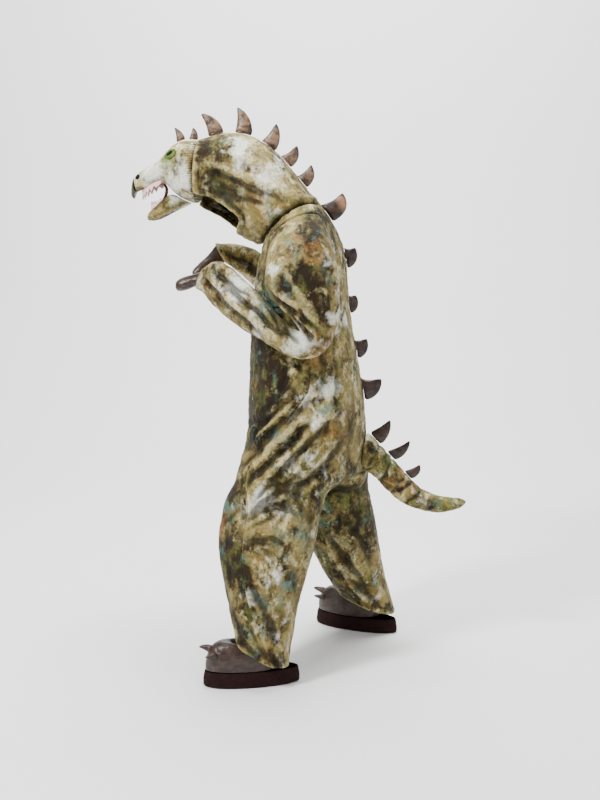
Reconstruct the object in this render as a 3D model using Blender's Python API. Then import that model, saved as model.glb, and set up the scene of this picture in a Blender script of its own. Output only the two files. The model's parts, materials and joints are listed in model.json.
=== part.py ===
"""Dinosaur costume: a plush jumpsuit with hood, stuffed head and tail, spikes and foot covers.

Metres, +Z up. +X is the wearer's left, -Y the front. The suit keeps the shape it has when it is
worn by someone who leans forward with bent arms, and it is empty. Heights in the tables are
above the floor. Everything is then hung from one empty, so that the point where the shoulders
carry the suit becomes the origin.
"""

import math
from collections import namedtuple

import bpy
from mathutils import Vector
from mathutils.bvhtree import BVHTree

# Driving dimensions
HOLD_POINT = Vector((0.0, 0.02, 1.44))
CLOTH = 0.0026
SATIN = 0.0016
FELT = 0.0015
SEAM_GAP = 0.0003
BODY_POINTS = 32
LEG_POINTS = 24
ARM_POINTS = 24
SIDE = BODY_POINTS // 4
BACK = BODY_POINTS // 2
BAND_HALF_WIDTH = 0.022
PLACKET_HALF_WIDTH = 0.020
TORSO_RINGS = 17
LEG_RINGS = 10
HOOD_RINGS = 11
CROTCH_DROP = 0.006
ARMHOLE_FIRST_COLUMN = 5
ARMHOLE_LAST_COLUMN = 12
ARMHOLE_TOP_RING = 1
ARMHOLE_BOTTOM_RING = 6

# Colours and finishes: name, red, green, blue, roughness
PLUSH = ("plush_mottled_olive", 0.20, 0.17, 0.09, 0.85)
PLUSH_PALE = ("plush_mottled_pale", 0.38, 0.34, 0.22, 0.85)
BROWN_SATIN = ("satin_brown", 0.12, 0.075, 0.055, 0.42)
DARK_SOLE = ("felt_dark_brown", 0.02, 0.006, 0.006, 0.8)
BEAK_CLOTH = ("satin_olive_grey", 0.09, 0.09, 0.06, 0.5)
TOOTH_FELT = ("felt_white", 0.85, 0.83, 0.80, 0.8)
RED_LINING = ("lining_red", 0.55, 0.05, 0.06, 0.6)
EYE_FELT = ("felt_green", 0.30, 0.48, 0.12, 0.7)
BLACK_FELT = ("felt_black", 0.01, 0.01, 0.01, 0.6)

# A section is cut through the suit like a slice. Its front and back point lie in the side view.
# lift raises both of its sides, slant raises the outer side and lowers the inner one, and seam
# turns the side seam towards the front, in radians. twist moves the left side forward and the
# right side back, as in a stride.
Section = namedtuple(
    "Section",
    "front_y front_z back_y back_z centre_x half_width lift slant seam twist",
    defaults=(0.0, 0.0, 0.0, 0.0),
)

TORSO = [
    Section(-0.107, 1.364, 0.058, 1.481, 0.0, 0.132, lift=0.040),
    Section(-0.118, 1.335, 0.088, 1.444, 0.0, 0.172, lift=0.040),
    Section(-0.128, 1.300, 0.111, 1.404, 0.0, 0.190, lift=0.025),
    Section(-0.137, 1.255, 0.133, 1.359, 0.0, 0.195, lift=0.010),
    Section(-0.146, 1.200, 0.146, 1.290, 0.0, 0.195),
    Section(-0.152, 1.140, 0.151, 1.210, 0.0, 0.195),
    Section(-0.155, 1.070, 0.159, 1.125, 0.0, 0.200, seam=-0.10),
    Section(-0.158, 0.990, 0.176, 1.040, 0.0, 0.210, seam=-0.20),
    Section(-0.161, 0.910, 0.190, 0.950, 0.0, 0.222, seam=-0.15),
    Section(-0.164, 0.835, 0.205, 0.870, 0.0, 0.235, seam=0.10),
    Section(-0.163, 0.775, 0.210, 0.795, 0.0, 0.242, seam=0.40, twist=0.012),
    Section(-0.167, 0.720, 0.210, 0.735, 0.0, 0.247, seam=0.52, twist=0.038),
    Section(-0.170, 0.668, 0.208, 0.675, 0.0, 0.252, seam=0.52, twist=0.064),
    Section(-0.170, 0.622, 0.206, 0.625, 0.0, 0.256, seam=0.50, twist=0.086),
]

LEG_LEFT = [
    Section(-0.222, 0.575, 0.093, 0.588, 0.152, 0.130, slant=0.015, seam=0.46),
    Section(-0.230, 0.535, 0.083, 0.548, 0.166, 0.136, seam=0.42),
    Section(-0.245, 0.455, 0.066, 0.462, 0.182, 0.136, seam=0.42),
    Section(-0.236, 0.380, 0.048, 0.378, 0.196, 0.130, seam=0.40),
    Section(-0.221, 0.300, 0.022, 0.298, 0.210, 0.122, seam=0.32),
    Section(-0.204, 0.228, 0.006, 0.215, 0.222, 0.114, seam=0.15),
    Section(-0.192, 0.180, -0.008, 0.140, 0.232, 0.106, seam=-0.10),
    Section(-0.184, 0.144, -0.020, 0.062, 0.246, 0.098, seam=-0.45),
]

LEG_RIGHT = [
    Section(-0.098, 0.572, 0.220, 0.558, 0.150, 0.130, slant=0.010, seam=0.46),
    Section(-0.072, 0.530, 0.226, 0.510, 0.162, 0.136, seam=0.42),
    Section(-0.032, 0.450, 0.243, 0.435, 0.176, 0.134, seam=0.40),
    Section(0.004, 0.370, 0.258, 0.355, 0.188, 0.128, seam=0.38),
    Section(0.035, 0.290, 0.269, 0.275, 0.204, 0.120, seam=0.32),
    Section(0.070, 0.218, 0.281, 0.205, 0.218, 0.112, seam=0.20),
    Section(0.096, 0.175, 0.301, 0.135, 0.230, 0.104, seam=0.05),
    Section(0.117, 0.144, 0.318, 0.066, 0.242, 0.096, seam=-0.20),
]

# The arms hang close to the sides and fold at the elbow. front is the inside of the elbow and
# then the top of the forearm, back is the point of the elbow and then its underside.
SLEEVE_LEFT = [
    Section(-0.082, 1.292, 0.128, 1.302, 0.238, 0.046, slant=0.098),
    Section(-0.090, 1.245, 0.137, 1.238, 0.264, 0.058, slant=0.078),
    Section(-0.078, 1.216, 0.133, 1.165, 0.274, 0.063, slant=0.034),
    Section(-0.040, 1.178, 0.122, 1.105, 0.279, 0.064, slant=0.008),
    Section(0.004, 1.138, 0.104, 1.058, 0.280, 0.062),
    Section(0.028, 1.112, 0.068, 1.030, 0.280, 0.060),
    Section(0.010, 1.102, 0.008, 1.022, 0.278, 0.060),
    Section(-0.037, 1.146, -0.046, 1.050, 0.270, 0.062),
    Section(-0.083, 1.192, -0.095, 1.079, 0.252, 0.062),
    Section(-0.130, 1.236, -0.145, 1.103, 0.228, 0.062),
    Section(-0.185, 1.284, -0.196, 1.128, 0.197, 0.060),
    Section(-0.235, 1.312, -0.245, 1.165, 0.167, 0.052),
    Section(-0.272, 1.300, -0.282, 1.210, 0.143, 0.038),
    Section(-0.293, 1.280, -0.310, 1.226, 0.128, 0.028),
]

SLEEVE_RIGHT = [
    Section(-0.084, 1.305, 0.126, 1.305, 0.238, 0.046, slant=0.102),
    Section(-0.088, 1.278, 0.135, 1.248, 0.262, 0.058, slant=0.080),
    Section(-0.070, 1.262, 0.132, 1.200, 0.274, 0.063, slant=0.040),
    Section(-0.035, 1.232, 0.124, 1.150, 0.279, 0.064, slant=0.010),
    Section(0.005, 1.200, 0.108, 1.108, 0.280, 0.062),
    Section(0.028, 1.178, 0.075, 1.078, 0.280, 0.060),
    Section(0.008, 1.162, 0.016, 1.068, 0.278, 0.060),
    Section(-0.040, 1.204, -0.034, 1.092, 0.270, 0.062),
    Section(-0.084, 1.252, -0.080, 1.126, 0.254, 0.062),
    Section(-0.126, 1.306, -0.124, 1.166, 0.232, 0.060),
    Section(-0.172, 1.340, -0.165, 1.208, 0.204, 0.056),
    Section(-0.216, 1.352, -0.202, 1.248, 0.176, 0.050),
    Section(-0.257, 1.358, -0.232, 1.276, 0.154, 0.042),
    Section(-0.290, 1.354, -0.254, 1.294, 0.138, 0.034),
]

# front is the underside of the hood, back its ridge.
HOOD = [
    Section(-0.107, 1.364, 0.058, 1.481, 0.0, 0.132, lift=0.040),
    Section(-0.130, 1.362, 0.028, 1.517, 0.0, 0.144, lift=0.023),
    Section(-0.157, 1.368, -0.014, 1.570, 0.0, 0.150, lift=0.006),
    Section(-0.192, 1.390, -0.056, 1.620, 0.0, 0.148),
    Section(-0.224, 1.413, -0.102, 1.662, 0.0, 0.142),
    Section(-0.252, 1.434, -0.152, 1.690, 0.0, 0.134),
    Section(-0.280, 1.449, -0.204, 1.701, 0.0, 0.125),
    Section(-0.305, 1.461, -0.257, 1.696, 0.0, 0.117),
    Section(-0.328, 1.475, -0.315, 1.678, 0.0, 0.110),
]
FACE_OPENING_LEFT_COLUMN = 5
FACE_OPENING_RIGHT_COLUMN = 30
FACE_OPENING_FIRST_RING = 4

# front is the underside of the head, which is the roof of the mouth from the fourth row on.
HEAD = [
    Section(-0.328, 1.480, -0.316, 1.678, 0.0, 0.110),
    Section(-0.362, 1.494, -0.350, 1.681, 0.0, 0.108),
    Section(-0.397, 1.516, -0.385, 1.674, 0.0, 0.097),
    Section(-0.424, 1.548, -0.410, 1.650, 0.0, 0.080),
    Section(-0.452, 1.541, -0.441, 1.619, 0.0, 0.062),
    Section(-0.483, 1.533, -0.476, 1.600, 0.0, 0.051),
    Section(-0.508, 1.525, -0.505, 1.582, 0.0, 0.043),
    Section(-0.518, 1.520, -0.525, 1.568, 0.0, 0.036),
]
BEAK = [
    Section(-0.5185, 1.519, -0.5258, 1.5675, 0.0, 0.0355),
    Section(-0.522, 1.512, -0.531, 1.553, 0.0, 0.030),
    Section(-0.525, 1.502, -0.536, 1.530, 0.0, 0.020),
    Section(-0.527, 1.497, -0.537, 1.508, 0.0, 0.008),
]
JAW = [
    Section(-0.352, 1.4835, -0.352, 1.4870, 0.0, 0.050),
    Section(-0.371, 1.472, -0.371, 1.4950, 0.0, 0.068),
    Section(-0.395, 1.461, -0.395, 1.5100, 0.0, 0.071),
    Section(-0.415, 1.450, -0.415, 1.5130, 0.0, 0.068),
    Section(-0.437, 1.438, -0.437, 1.4900, 0.0, 0.060),
    Section(-0.462, 1.429, -0.462, 1.4680, 0.0, 0.048),
    Section(-0.484, 1.432, -0.484, 1.4520, 0.0, 0.032),
]

TAIL = [
    Section(0.206, 0.628, 0.216, 0.768, 0.0, 0.062),
    Section(0.236, 0.616, 0.262, 0.712, 0.0, 0.058),
    Section(0.270, 0.575, 0.316, 0.656, 0.0, 0.054),
    Section(0.308, 0.539, 0.346, 0.619, 0.0, 0.052),
    Section(0.348, 0.514, 0.378, 0.585, 0.0, 0.045),
    Section(0.395, 0.498, 0.412, 0.561, 0.0, 0.037),
    Section(0.443, 0.489, 0.456, 0.546, 0.0, 0.030),
    Section(0.493, 0.496, 0.499, 0.541, 0.0, 0.022),
    Section(0.525, 0.509, 0.526, 0.540, 0.0, 0.013),
]
TAIL_TIP = (0.549, 0.532)

CUFF_SEAT = 0.0022
MITT_SLEEVE_SHARE = 0.88
MITT_END_SEAT = 0.006
MITT_LEFT = [
    Section(-0.302, 1.273, -0.315, 1.229, 0.127, 0.023),
    Section(-0.325, 1.266, -0.335, 1.220, 0.124, 0.026),
    Section(-0.350, 1.260, -0.357, 1.213, 0.121, 0.029),
    Section(-0.368, 1.253, -0.373, 1.214, 0.119, 0.025),
    Section(-0.377, 1.243, -0.379, 1.223, 0.118, 0.014),
]
MITT_RIGHT = [
    Section(-0.297, 1.342, -0.264, 1.291, 0.133, 0.028),
    Section(-0.314, 1.318, -0.292, 1.274, 0.118, 0.027),
    Section(-0.336, 1.298, -0.316, 1.254, 0.104, 0.029),
    Section(-0.354, 1.278, -0.338, 1.242, 0.094, 0.025),
    Section(-0.362, 1.264, -0.354, 1.246, 0.089, 0.014),
]

# A spike stands on the crest between its head end and its tail end. bow curves it, so that its
# tail side is full and its tip hooks towards the head.
Spike = namedtuple("Spike", "name head_y head_z tail_y tail_z tip_y tip_z bow half_thickness")
SPIKES = [
    Spike("spike_brow", -0.390, 1.671, -0.358, 1.680, -0.397, 1.721, 0.007, 0.009),
    Spike("spike_crown", -0.353, 1.681, -0.320, 1.677, -0.338, 1.722, 0.008, 0.009),
    Spike("spike_01", -0.290, 1.688, -0.234, 1.699, -0.316, 1.763, 0.019, 0.015),
    Spike("spike_02", -0.208, 1.700, -0.148, 1.689, -0.200, 1.784, 0.020, 0.016),
    Spike("spike_03", -0.126, 1.674, -0.078, 1.638, -0.075, 1.735, 0.016, 0.015),
    Spike("spike_04", -0.068, 1.629, -0.031, 1.589, -0.010, 1.666, 0.018, 0.014),
    Spike("spike_05", -0.014, 1.568, 0.020, 1.527, 0.034, 1.608, 0.020, 0.014),
    Spike("spike_06", 0.060, 1.482, 0.110, 1.428, 0.133, 1.522, 0.028, 0.016),
    Spike("spike_07", 0.135, 1.352, 0.144, 1.272, 0.175, 1.350, 0.022, 0.014),
    Spike("spike_08", 0.146, 1.205, 0.156, 1.130, 0.178, 1.200, 0.020, 0.013),
    Spike("spike_09", 0.160, 1.062, 0.172, 0.985, 0.215, 1.062, 0.024, 0.015),
    Spike("spike_10", 0.180, 0.938, 0.196, 0.852, 0.264, 0.934, 0.026, 0.016),
    Spike("spike_11", 0.226, 0.758, 0.264, 0.712, 0.292, 0.800, 0.014, 0.012),
    Spike("spike_12", 0.280, 0.694, 0.312, 0.662, 0.358, 0.732, 0.014, 0.012),
    Spike("spike_13", 0.338, 0.630, 0.366, 0.602, 0.390, 0.654, 0.014, 0.012),
]
SPIKE_LEVELS = 5
SPIKE_POINTS = 10
SPIKE_HEAD_SIDE_BOW = 0.35
SPIKE_FOOT_HOLLOW = 0.007
TAIL_FOOT_HOLLOW = 0.012
EDGE_SAMPLES = 6

# The feet: a sole with a low wall, and a padded cover with claws on its toe half. Their lengths
# are measured from the middle of the foot, along it, towards the heel.
Foot = namedtuple("Foot", "name side centre_x centre_y toe_out cover_share")
FEET = [
    Foot("left", 1, 0.258, -0.134, math.radians(12), 1.217),
    Foot("right", -1, -0.250, 0.184, math.radians(-20), 1.177),
]
SOLE_POINTS = 22
SOLE_HALF_LENGTH = 0.154
SOLE_HALF_WIDTH = 0.050
SOLE_TOE_EXTRA = 0.006
SOLE_WALL = 0.003
SOLE_HEIGHT = 0.052
SOLE_RIM_SHARE = 0.965
COVER_RIM_END = 0.02
FOOT_COVER = [
    Section(-0.1470, 0.0525, 0.085, 0.0525, 0.0, 0.0500),
    Section(-0.1450, 0.0760, 0.086, 0.0700, 0.0, 0.0520),
    Section(-0.1370, 0.1020, 0.084, 0.0880, 0.0, 0.0500),
    Section(-0.1140, 0.1230, 0.080, 0.1040, 0.0, 0.0430),
    Section(-0.0800, 0.1280, 0.074, 0.1080, 0.0, 0.0320),
    Section(-0.0480, 0.1120, 0.060, 0.1040, 0.0, 0.0200),
]
CLAW_POINTS = 8
CLAW_LEVELS = 4
CLAW_GAP = 0.0004
CLAW_LEAN = 1.6
Claw = namedtuple("Claw", "name across height length radius")
CLAWS = [
    Claw("outer", 0.030, 0.094, 0.034, 0.010),
    Claw("middle", 0.000, 0.106, 0.036, 0.011),
    Claw("inner", -0.030, 0.094, 0.034, 0.010),
]

# Teeth stand along a bent path from one corner of the mouth round the front to the other.
TeethRow = namedtuple(
    "TeethRow", "name host up corner_y front_y corner_half front_half front_tall corner_tall"
)
TEETH = [
    TeethRow("teeth_upper", "head", -1, -0.430, -0.500, 0.050, 0.030, 0.032, 0.016),
    TeethRow("teeth_lower", "lower_jaw", 1, -0.426, -0.473, 0.046, 0.024, 0.028, 0.006),
]
HEAD_GAP = 0.0003
TEETH_IN_ROW = 13
TOOTH_VALLEY = 0.45
LINING_ROOF_STATIONS = (-0.490, -0.465, -0.442, -0.428)
LINING_FLOOR_STATIONS = (-0.430, -0.440, -0.450, -0.459)
LINING_CORNER_Y = -0.420
LINING_BACK_HALF = 0.027
LINING_FRONT_HALF = 0.014
MOUTH_MIDDLE_Z = 1.521

# Round felt pieces on the head, as an outline in the side view.
Patch = namedtuple("Patch", "name host y z half_long half_tall tilt lift finish")
EYES = [
    Patch("eye", "head", -0.394, 1.632, 0.022, 0.014, math.radians(28), 0.0013, EYE_FELT),
    Patch("pupil", "eye", -0.396, 1.635, 0.012, 0.0045, math.radians(32), 0.0006, BLACK_FELT),
    Patch("nostril", "head", -0.506, 1.565, 0.009, 0.006, math.radians(50), 0.0013, BLACK_FELT),
]
PATCH_POINTS = 14
PATCH_RINGS = (0.4, 0.7, 1.0)
MOUTH_LIFT = 0.0012
PLACKET_LAST_RING = 11

# Folds in the side view, from one end to the other. depth is inwards when negative. side is 1 on
# the left, -1 on the right and 0 on both.
Fold = namedtuple("Fold", "side from_y from_z to_y to_z half_width depth")
FOLDS = [
    Fold(0, 0.055, 0.925, -0.130, 0.725, 0.020, 0.010),
    Fold(0, 0.030, 0.960, -0.150, 0.780, 0.022, -0.014),
    Fold(0, 0.075, 0.870, -0.110, 0.680, 0.022, -0.012),
    Fold(0, -0.040, 0.830, -0.170, 0.745, 0.018, 0.010),
    Fold(0, 0.120, 0.840, 0.060, 0.640, 0.025, -0.008),
    Fold(0, -0.210, 0.640, -0.060, 0.690, 0.020, -0.012),
    Fold(1, -0.120, 0.560, 0.040, 0.640, 0.022, 0.008),
    Fold(1, -0.130, 0.470, 0.050, 0.530, 0.022, -0.009),
    Fold(1, -0.150, 0.400, 0.000, 0.450, 0.022, 0.008),
    Fold(1, -0.200, 0.215, -0.040, 0.120, 0.020, -0.009),
    Fold(1, -0.180, 0.280, -0.020, 0.230, 0.022, 0.006),
    Fold(-1, 0.000, 0.480, 0.200, 0.560, 0.022, -0.009),
    Fold(-1, 0.060, 0.330, 0.230, 0.400, 0.022, 0.008),
    Fold(-1, 0.120, 0.220, 0.280, 0.140, 0.020, -0.008),
    Fold(0, -0.290, 1.640, -0.120, 1.470, 0.020, 0.008),
    Fold(0, -0.300, 1.600, -0.150, 1.430, 0.018, -0.008),
    Fold(0, -0.250, 1.560, -0.030, 1.500, 0.018, -0.006),
    Fold(0, -0.130, 1.260, -0.130, 1.060, 0.025, -0.006),
    Fold(0, 0.100, 1.240, 0.110, 1.000, 0.022, -0.008),
]


def catmull_rom(before, start, end, after, share):
    """The value on a smooth curve through four numbers, at a share of the way from the second."""
    return 0.5 * (
        2 * start
        + (end - before) * share
        + (2 * before - 5 * start + 4 * end - after) * share**2
        + (3 * start - before - 3 * end + after) * share**3
    )


def resampled(rows, count):
    """A table's rows drawn out to count sections on smooth curves."""
    found = []
    for index in range(count):
        place = index * (len(rows) - 1) / (count - 1)
        first = min(int(place), len(rows) - 2)
        share = place - first
        near = [rows[max(0, min(len(rows) - 1, first + step))] for step in (-1, 0, 1, 2)]
        found.append(Section(*(catmull_rom(*values, share) for values in zip(*near))))
    return found


def section_point(section, angle, side=1, squareness=1.0):
    """A point of a section. Angle 0 is its front, a quarter turn its outer side."""
    along, across = math.cos(angle), math.sin(angle)
    along = math.copysign(abs(along) ** squareness, along)
    swell = math.copysign(abs(across) ** squareness, across)
    middle_y = (section.front_y + section.back_y) / 2 - section.twist * across
    middle_z = (section.front_z + section.back_z) / 2
    return Vector(
        (
            side * (section.centre_x + section.half_width * swell),
            middle_y + along * (section.front_y - section.back_y) / 2,
            middle_z
            + along * (section.front_z - section.back_z) / 2
            + section.lift * across**2
            + section.slant * across,
        )
    )


def turned_to_seam(angle, seam):
    """An angle moved towards the front at both sides, where the seams run."""
    return angle - seam * math.sin(angle) * abs(math.sin(angle))


def body_angles(section):
    """The angles of a body ring, with one column on each edge of the placket and the crest."""
    front = math.asin(min(0.9, (PLACKET_HALF_WIDTH / section.half_width) ** (1 / 0.85)))
    back = math.asin(min(0.9, (BAND_HALF_WIDTH / section.half_width) ** (1 / 0.85)))
    columns = BACK - 2
    left = [0.0]
    for index in range(columns + 1):
        left.append(front + (math.pi - front - back) * index / columns)
    left = [turned_to_seam(angle, section.seam) for angle in left]
    return left + [math.pi] + [-angle for angle in reversed(left[1:])]


class Surface:
    """The middle of the cloth: shared points, and faces that belong to panels."""

    def __init__(self):
        self.points = []
        self.faces = []

    def row(self, points):
        first = len(self.points)
        self.points.extend(points)
        return list(range(first, len(self.points)))

    def strip(self, upper, lower, panel_of, flip=False, closed=True):
        """Quads between two rows of points. panel_of names each quad's panel, or None."""
        count = len(upper)
        for column in range(count if closed else count - 1):
            after = (column + 1) % count
            panel = panel_of(column)
            if panel is None:
                continue
            corners = [upper[column], upper[after], lower[after], lower[column]]
            if flip:
                corners.reverse()
            self.faces.append((corners, panel))

    def normals(self):
        found = [Vector() for _ in self.points]
        for corners, _ in self.faces:
            a, b, c, d = (self.points[corner] for corner in corners)
            normal = (c - a).cross(d - b)
            for corner in corners:
                found[corner] += normal
        return [normal.normalized() if normal.length else normal for normal in found]

    def press_folds(self, folds):
        """Moves points in or out along the folds that cross their side."""
        normals = self.normals()
        for index, point in enumerate(self.points):
            normal = normals[index]
            shift = 0.0
            for fold in folds:
                if fold.side and fold.side * point.x < 0:
                    continue
                start = Vector((fold.from_y, fold.from_z))
                run = Vector((fold.to_y, fold.to_z)) - start
                place = Vector((point.y, point.z))
                share = max(0.0, min(1.0, (place - start).dot(run) / run.length_squared))
                distance = (place - start - run * share).length
                taper = 0.35 + 0.65 * math.sin(math.pi * share)
                shift += fold.depth * taper * math.exp(-((distance / fold.half_width) ** 2))
            self.points[index] = point + normal * shift * min(1.0, abs(normal.x) * 1.6)

    def panel(self, name, wall):
        """One panel as a closed wall, drawn in by half a seam gap along its edges."""
        normals = self.normals()
        faces = [corners for corners, panel in self.faces if panel == name]
        edges = {}
        for corners in faces:
            for start, end in zip(corners, corners[1:] + corners[:1]):
                edges[(start, end)] = corners
        rim = [(start, end) for start, end in edges if (end, start) not in edges]
        inward = {}
        for start, end in rim:
            along = self.points[end] - self.points[start]
            for corner in (start, end):
                pull = normals[corner].cross(along).normalized()
                inward.setdefault(corner, []).append(pull)
        used = sorted({corner for corners in faces for corner in corners})
        place = {corner: index for index, corner in enumerate(used)}
        points = []
        for height in (wall / 2, -wall / 2):
            for corner in used:
                point = self.points[corner] + normals[corner] * height
                if corner in inward:
                    pulls = inward[corner]
                    middle = sum(pulls, Vector()).normalized()
                    spread = max(0.35, middle.dot(pulls[0]))
                    point = point + middle * SEAM_GAP / 2 / spread
                points.append(point)
        under = len(used)
        polygons = []
        for corners in faces:
            a, b, c, d = (place[corner] for corner in corners)
            polygons += [(a, b, c), (a, c, d)]
            polygons += [(c + under, b + under, a + under), (d + under, c + under, a + under)]
        for start, end in rim:
            a, b = place[start], place[end]
            if start < end:
                polygons += [(b, a, b + under), (a, a + under, b + under)]
            else:
                polygons += [(b, a, a + under), (b, a + under, b + under)]
        return points, polygons


for old in list(bpy.data.objects):
    bpy.data.objects.remove(old)
origin = bpy.data.objects.new("hold_point", None)
origin.location = -HOLD_POINT
bpy.context.scene.collection.objects.link(origin)
materials = {}
seats = {}


def material_of(finish):
    name, red, green, blue, roughness = finish
    if name not in materials:
        made = bpy.data.materials.new(name)
        made.use_nodes = True
        shader = made.node_tree.nodes["Principled BSDF"]
        shader.inputs["Base Color"].default_value = (red, green, blue, 1.0)
        shader.inputs["Roughness"].default_value = roughness
        shader.inputs["Metallic"].default_value = 0.0
        materials[name] = made
    return materials[name]


def place_piece(name, points, polygons, finish):
    """Makes the piece's object, hangs it from the hold point and keeps its shape for seating."""
    mesh = bpy.data.meshes.new(name)
    mesh.from_pydata([tuple(point) for point in points], [], polygons)
    mesh.materials.append(material_of(finish))
    mesh.shade_smooth()
    mesh.set_sharp_from_angle(angle=math.radians(50))
    piece = bpy.data.objects.new(name, mesh)
    bpy.context.scene.collection.objects.link(piece)
    piece.parent = origin
    seats[name] = BVHTree.FromPolygons([tuple(point) for point in points], polygons)
    return piece


def loft(rings, close_start=True, close_end=True):
    """A closed solid through rings that run front, outer side, back, inner side."""
    count = len(rings[0])
    points = [point for ring in rings for point in ring]
    polygons = []
    for level in range(len(rings) - 1):
        for index in range(count):
            after = (index + 1) % count
            a, b = level * count + index, level * count + after
            c, d = a + count, b + count
            polygons += [(a, b, d), (a, d, c)]
    for level, closed in ((0, close_start), (len(rings) - 1, close_end)):
        if closed:
            middle = sum(rings[level], Vector()) / count
            points.append(middle)
            for index in range(count):
                pair = (level * count + index, level * count + (index + 1) % count)
                if level:
                    polygons.append((pair[0], pair[1], len(points) - 1))
                else:
                    polygons.append((pair[1], pair[0], len(points) - 1))
    return points, polygons


def facing_out(points, polygons):
    """The same solid with its faces turned round if they point inwards."""
    volume = 0.0
    for a, b, c in polygons:
        volume += points[a].dot(points[b].cross(points[c]))
    if volume < 0:
        polygons = [polygon[::-1] for polygon in polygons]
    return points, polygons


def nearest_hit(hosts, start, direction, reach=0.2):
    """Where a line first meets one of the host pieces, or None."""
    found = None
    for host in hosts:
        hit, _, _, distance = seats[host].ray_cast(start, direction, reach)
        if hit is not None and (found is None or distance < found[1]):
            found = (hit, distance)
    return found[0] if found else None


def seated_ring(ring, down, hosts, hollow):
    """The foot of a piece, laid just above its hosts along every edge, and its hollow middle."""
    up = -down
    heights = []
    for point in ring:
        hit = nearest_hit(hosts, point + up * 0.06, down)
        heights.append((hit - point).dot(up) if hit else 0.0)
    count = len(ring)
    rises = [0.0] * count
    for index in range(count):
        after = (index + 1) % count
        for step in range(1, EDGE_SAMPLES):
            share = step / EDGE_SAMPLES
            point = ring[index].lerp(ring[after], share)
            hit = nearest_hit(hosts, point + up * 0.06, down)
            if hit is None:
                continue
            chord = heights[index] * (1 - share) + heights[after] * share
            rise = (hit - point).dot(up) - chord
            rises[index] = max(rises[index], rise)
            rises[after] = max(rises[after], rise)
    seated = []
    for point, height, rise in zip(ring, heights, rises):
        seated.append(point + up * (height + rise + SEAM_GAP))
    middle = sum(seated, Vector()) / count + up * hollow
    return seated, middle


def build_suit():
    """The jumpsuit and hood: one shared surface, cut into the panels that are sewn together."""
    suit = Surface()
    torso = resampled(TORSO, TORSO_RINGS)
    rings = []
    for section in torso:
        points = [section_point(section, angle, 1, 0.85) for angle in body_angles(section)]
        rings.append(suit.row(points))

    def body_panel(ring, column):
        middle = column + 0.5
        on_left = middle < BACK
        mirrored = middle if on_left else BODY_POINTS - middle
        in_rows = ARMHOLE_TOP_RING <= ring < ARMHOLE_BOTTOM_RING
        if in_rows and ARMHOLE_FIRST_COLUMN < mirrored < ARMHOLE_LAST_COLUMN:
            return None
        if mirrored > BACK - 1:
            return "crest_band"
        half = "front" if mirrored < SIDE else "back"
        return f"{half}_{'left' if on_left else 'right'}"

    for ring in range(len(rings) - 1):
        suit.strip(rings[ring], rings[ring + 1], lambda column: body_panel(ring, column))

    hip = rings[-1]
    front, back = suit.points[hip[0]], suit.points[hip[BACK]]
    crotch = []
    steps = LEG_POINTS - BACK
    for step in range(1, steps):
        share = step / steps
        point = back.lerp(front, share)
        point.z -= CROTCH_DROP * math.sin(math.pi * share)
        crotch.append(point)
    crotch = suit.row(crotch)

    def leg_panel(name):
        def panel_of(column):
            return f"{'back' if SIDE <= column < 20 else 'front'}_{name}"

        return panel_of

    for name, side, table in (("left", 1, LEG_LEFT), ("right", -1, LEG_RIGHT)):
        outer = [hip[(side * column) % BODY_POINTS] for column in range(BACK + 1)]
        above = outer + crotch
        for section in resampled(table, LEG_RINGS):
            points = []
            for column in range(LEG_POINTS):
                angle = math.radians(-30 + 15 * column)
                angle = turned_to_seam(angle, section.seam)
                points.append(section_point(section, angle, side, 0.9))
            below = suit.row(points)
            suit.strip(above, below, leg_panel(name), flip=side < 0)
            above = below

    for name, side, table in (("left", 1, SLEEVE_LEFT), ("right", -1, SLEEVE_RIGHT)):
        column = [(side * index) % BODY_POINTS for index in range(BODY_POINTS)]
        middle_ring = (ARMHOLE_TOP_RING + ARMHOLE_BOTTOM_RING) // 2
        loop = []
        for ring in range(middle_ring, ARMHOLE_TOP_RING, -1):
            loop.append(rings[ring][column[ARMHOLE_FIRST_COLUMN]])
        for index in range(ARMHOLE_FIRST_COLUMN, ARMHOLE_LAST_COLUMN):
            loop.append(rings[ARMHOLE_TOP_RING][column[index]])
        for ring in range(ARMHOLE_TOP_RING, ARMHOLE_BOTTOM_RING):
            loop.append(rings[ring][column[ARMHOLE_LAST_COLUMN]])
        for index in range(ARMHOLE_LAST_COLUMN, ARMHOLE_FIRST_COLUMN, -1):
            loop.append(rings[ARMHOLE_BOTTOM_RING][column[index]])
        for ring in range(ARMHOLE_BOTTOM_RING, middle_ring, -1):
            loop.append(rings[ring][column[ARMHOLE_FIRST_COLUMN]])
        above = loop
        for section in table:
            points = []
            for index in range(ARM_POINTS):
                angle = 2 * math.pi * index / ARM_POINTS
                points.append(section_point(section, angle, side, 0.9))
            below = suit.row(points)
            suit.strip(above, below, lambda column: f"sleeve_{name}", flip=side < 0)
            above = below

    hood = resampled(HOOD, HOOD_RINGS)
    above = rings[0]

    def hood_panel(ring, column):
        middle = column + 0.5
        if ring >= FACE_OPENING_FIRST_RING:
            if middle < FACE_OPENING_LEFT_COLUMN or middle > FACE_OPENING_RIGHT_COLUMN:
                return None
        if BACK - 1 < middle < BACK + 1:
            return "crest_band"
        return "hood_left" if middle < BACK else "hood_right"

    for ring, section in enumerate(hood[1:]):
        points = [section_point(section, angle, 1, 0.9) for angle in body_angles(section)]
        below = suit.row(points)
        suit.strip(above, below, lambda column: hood_panel(ring, column), flip=True)
        above = below

    suit.press_folds(FOLDS)
    lay_placket(suit, rings)
    for name in sorted({panel for _, panel in suit.faces}):
        points, polygons = suit.panel(name, CLOTH)
        place_piece(name, points, polygons, PLUSH)
    return suit


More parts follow.
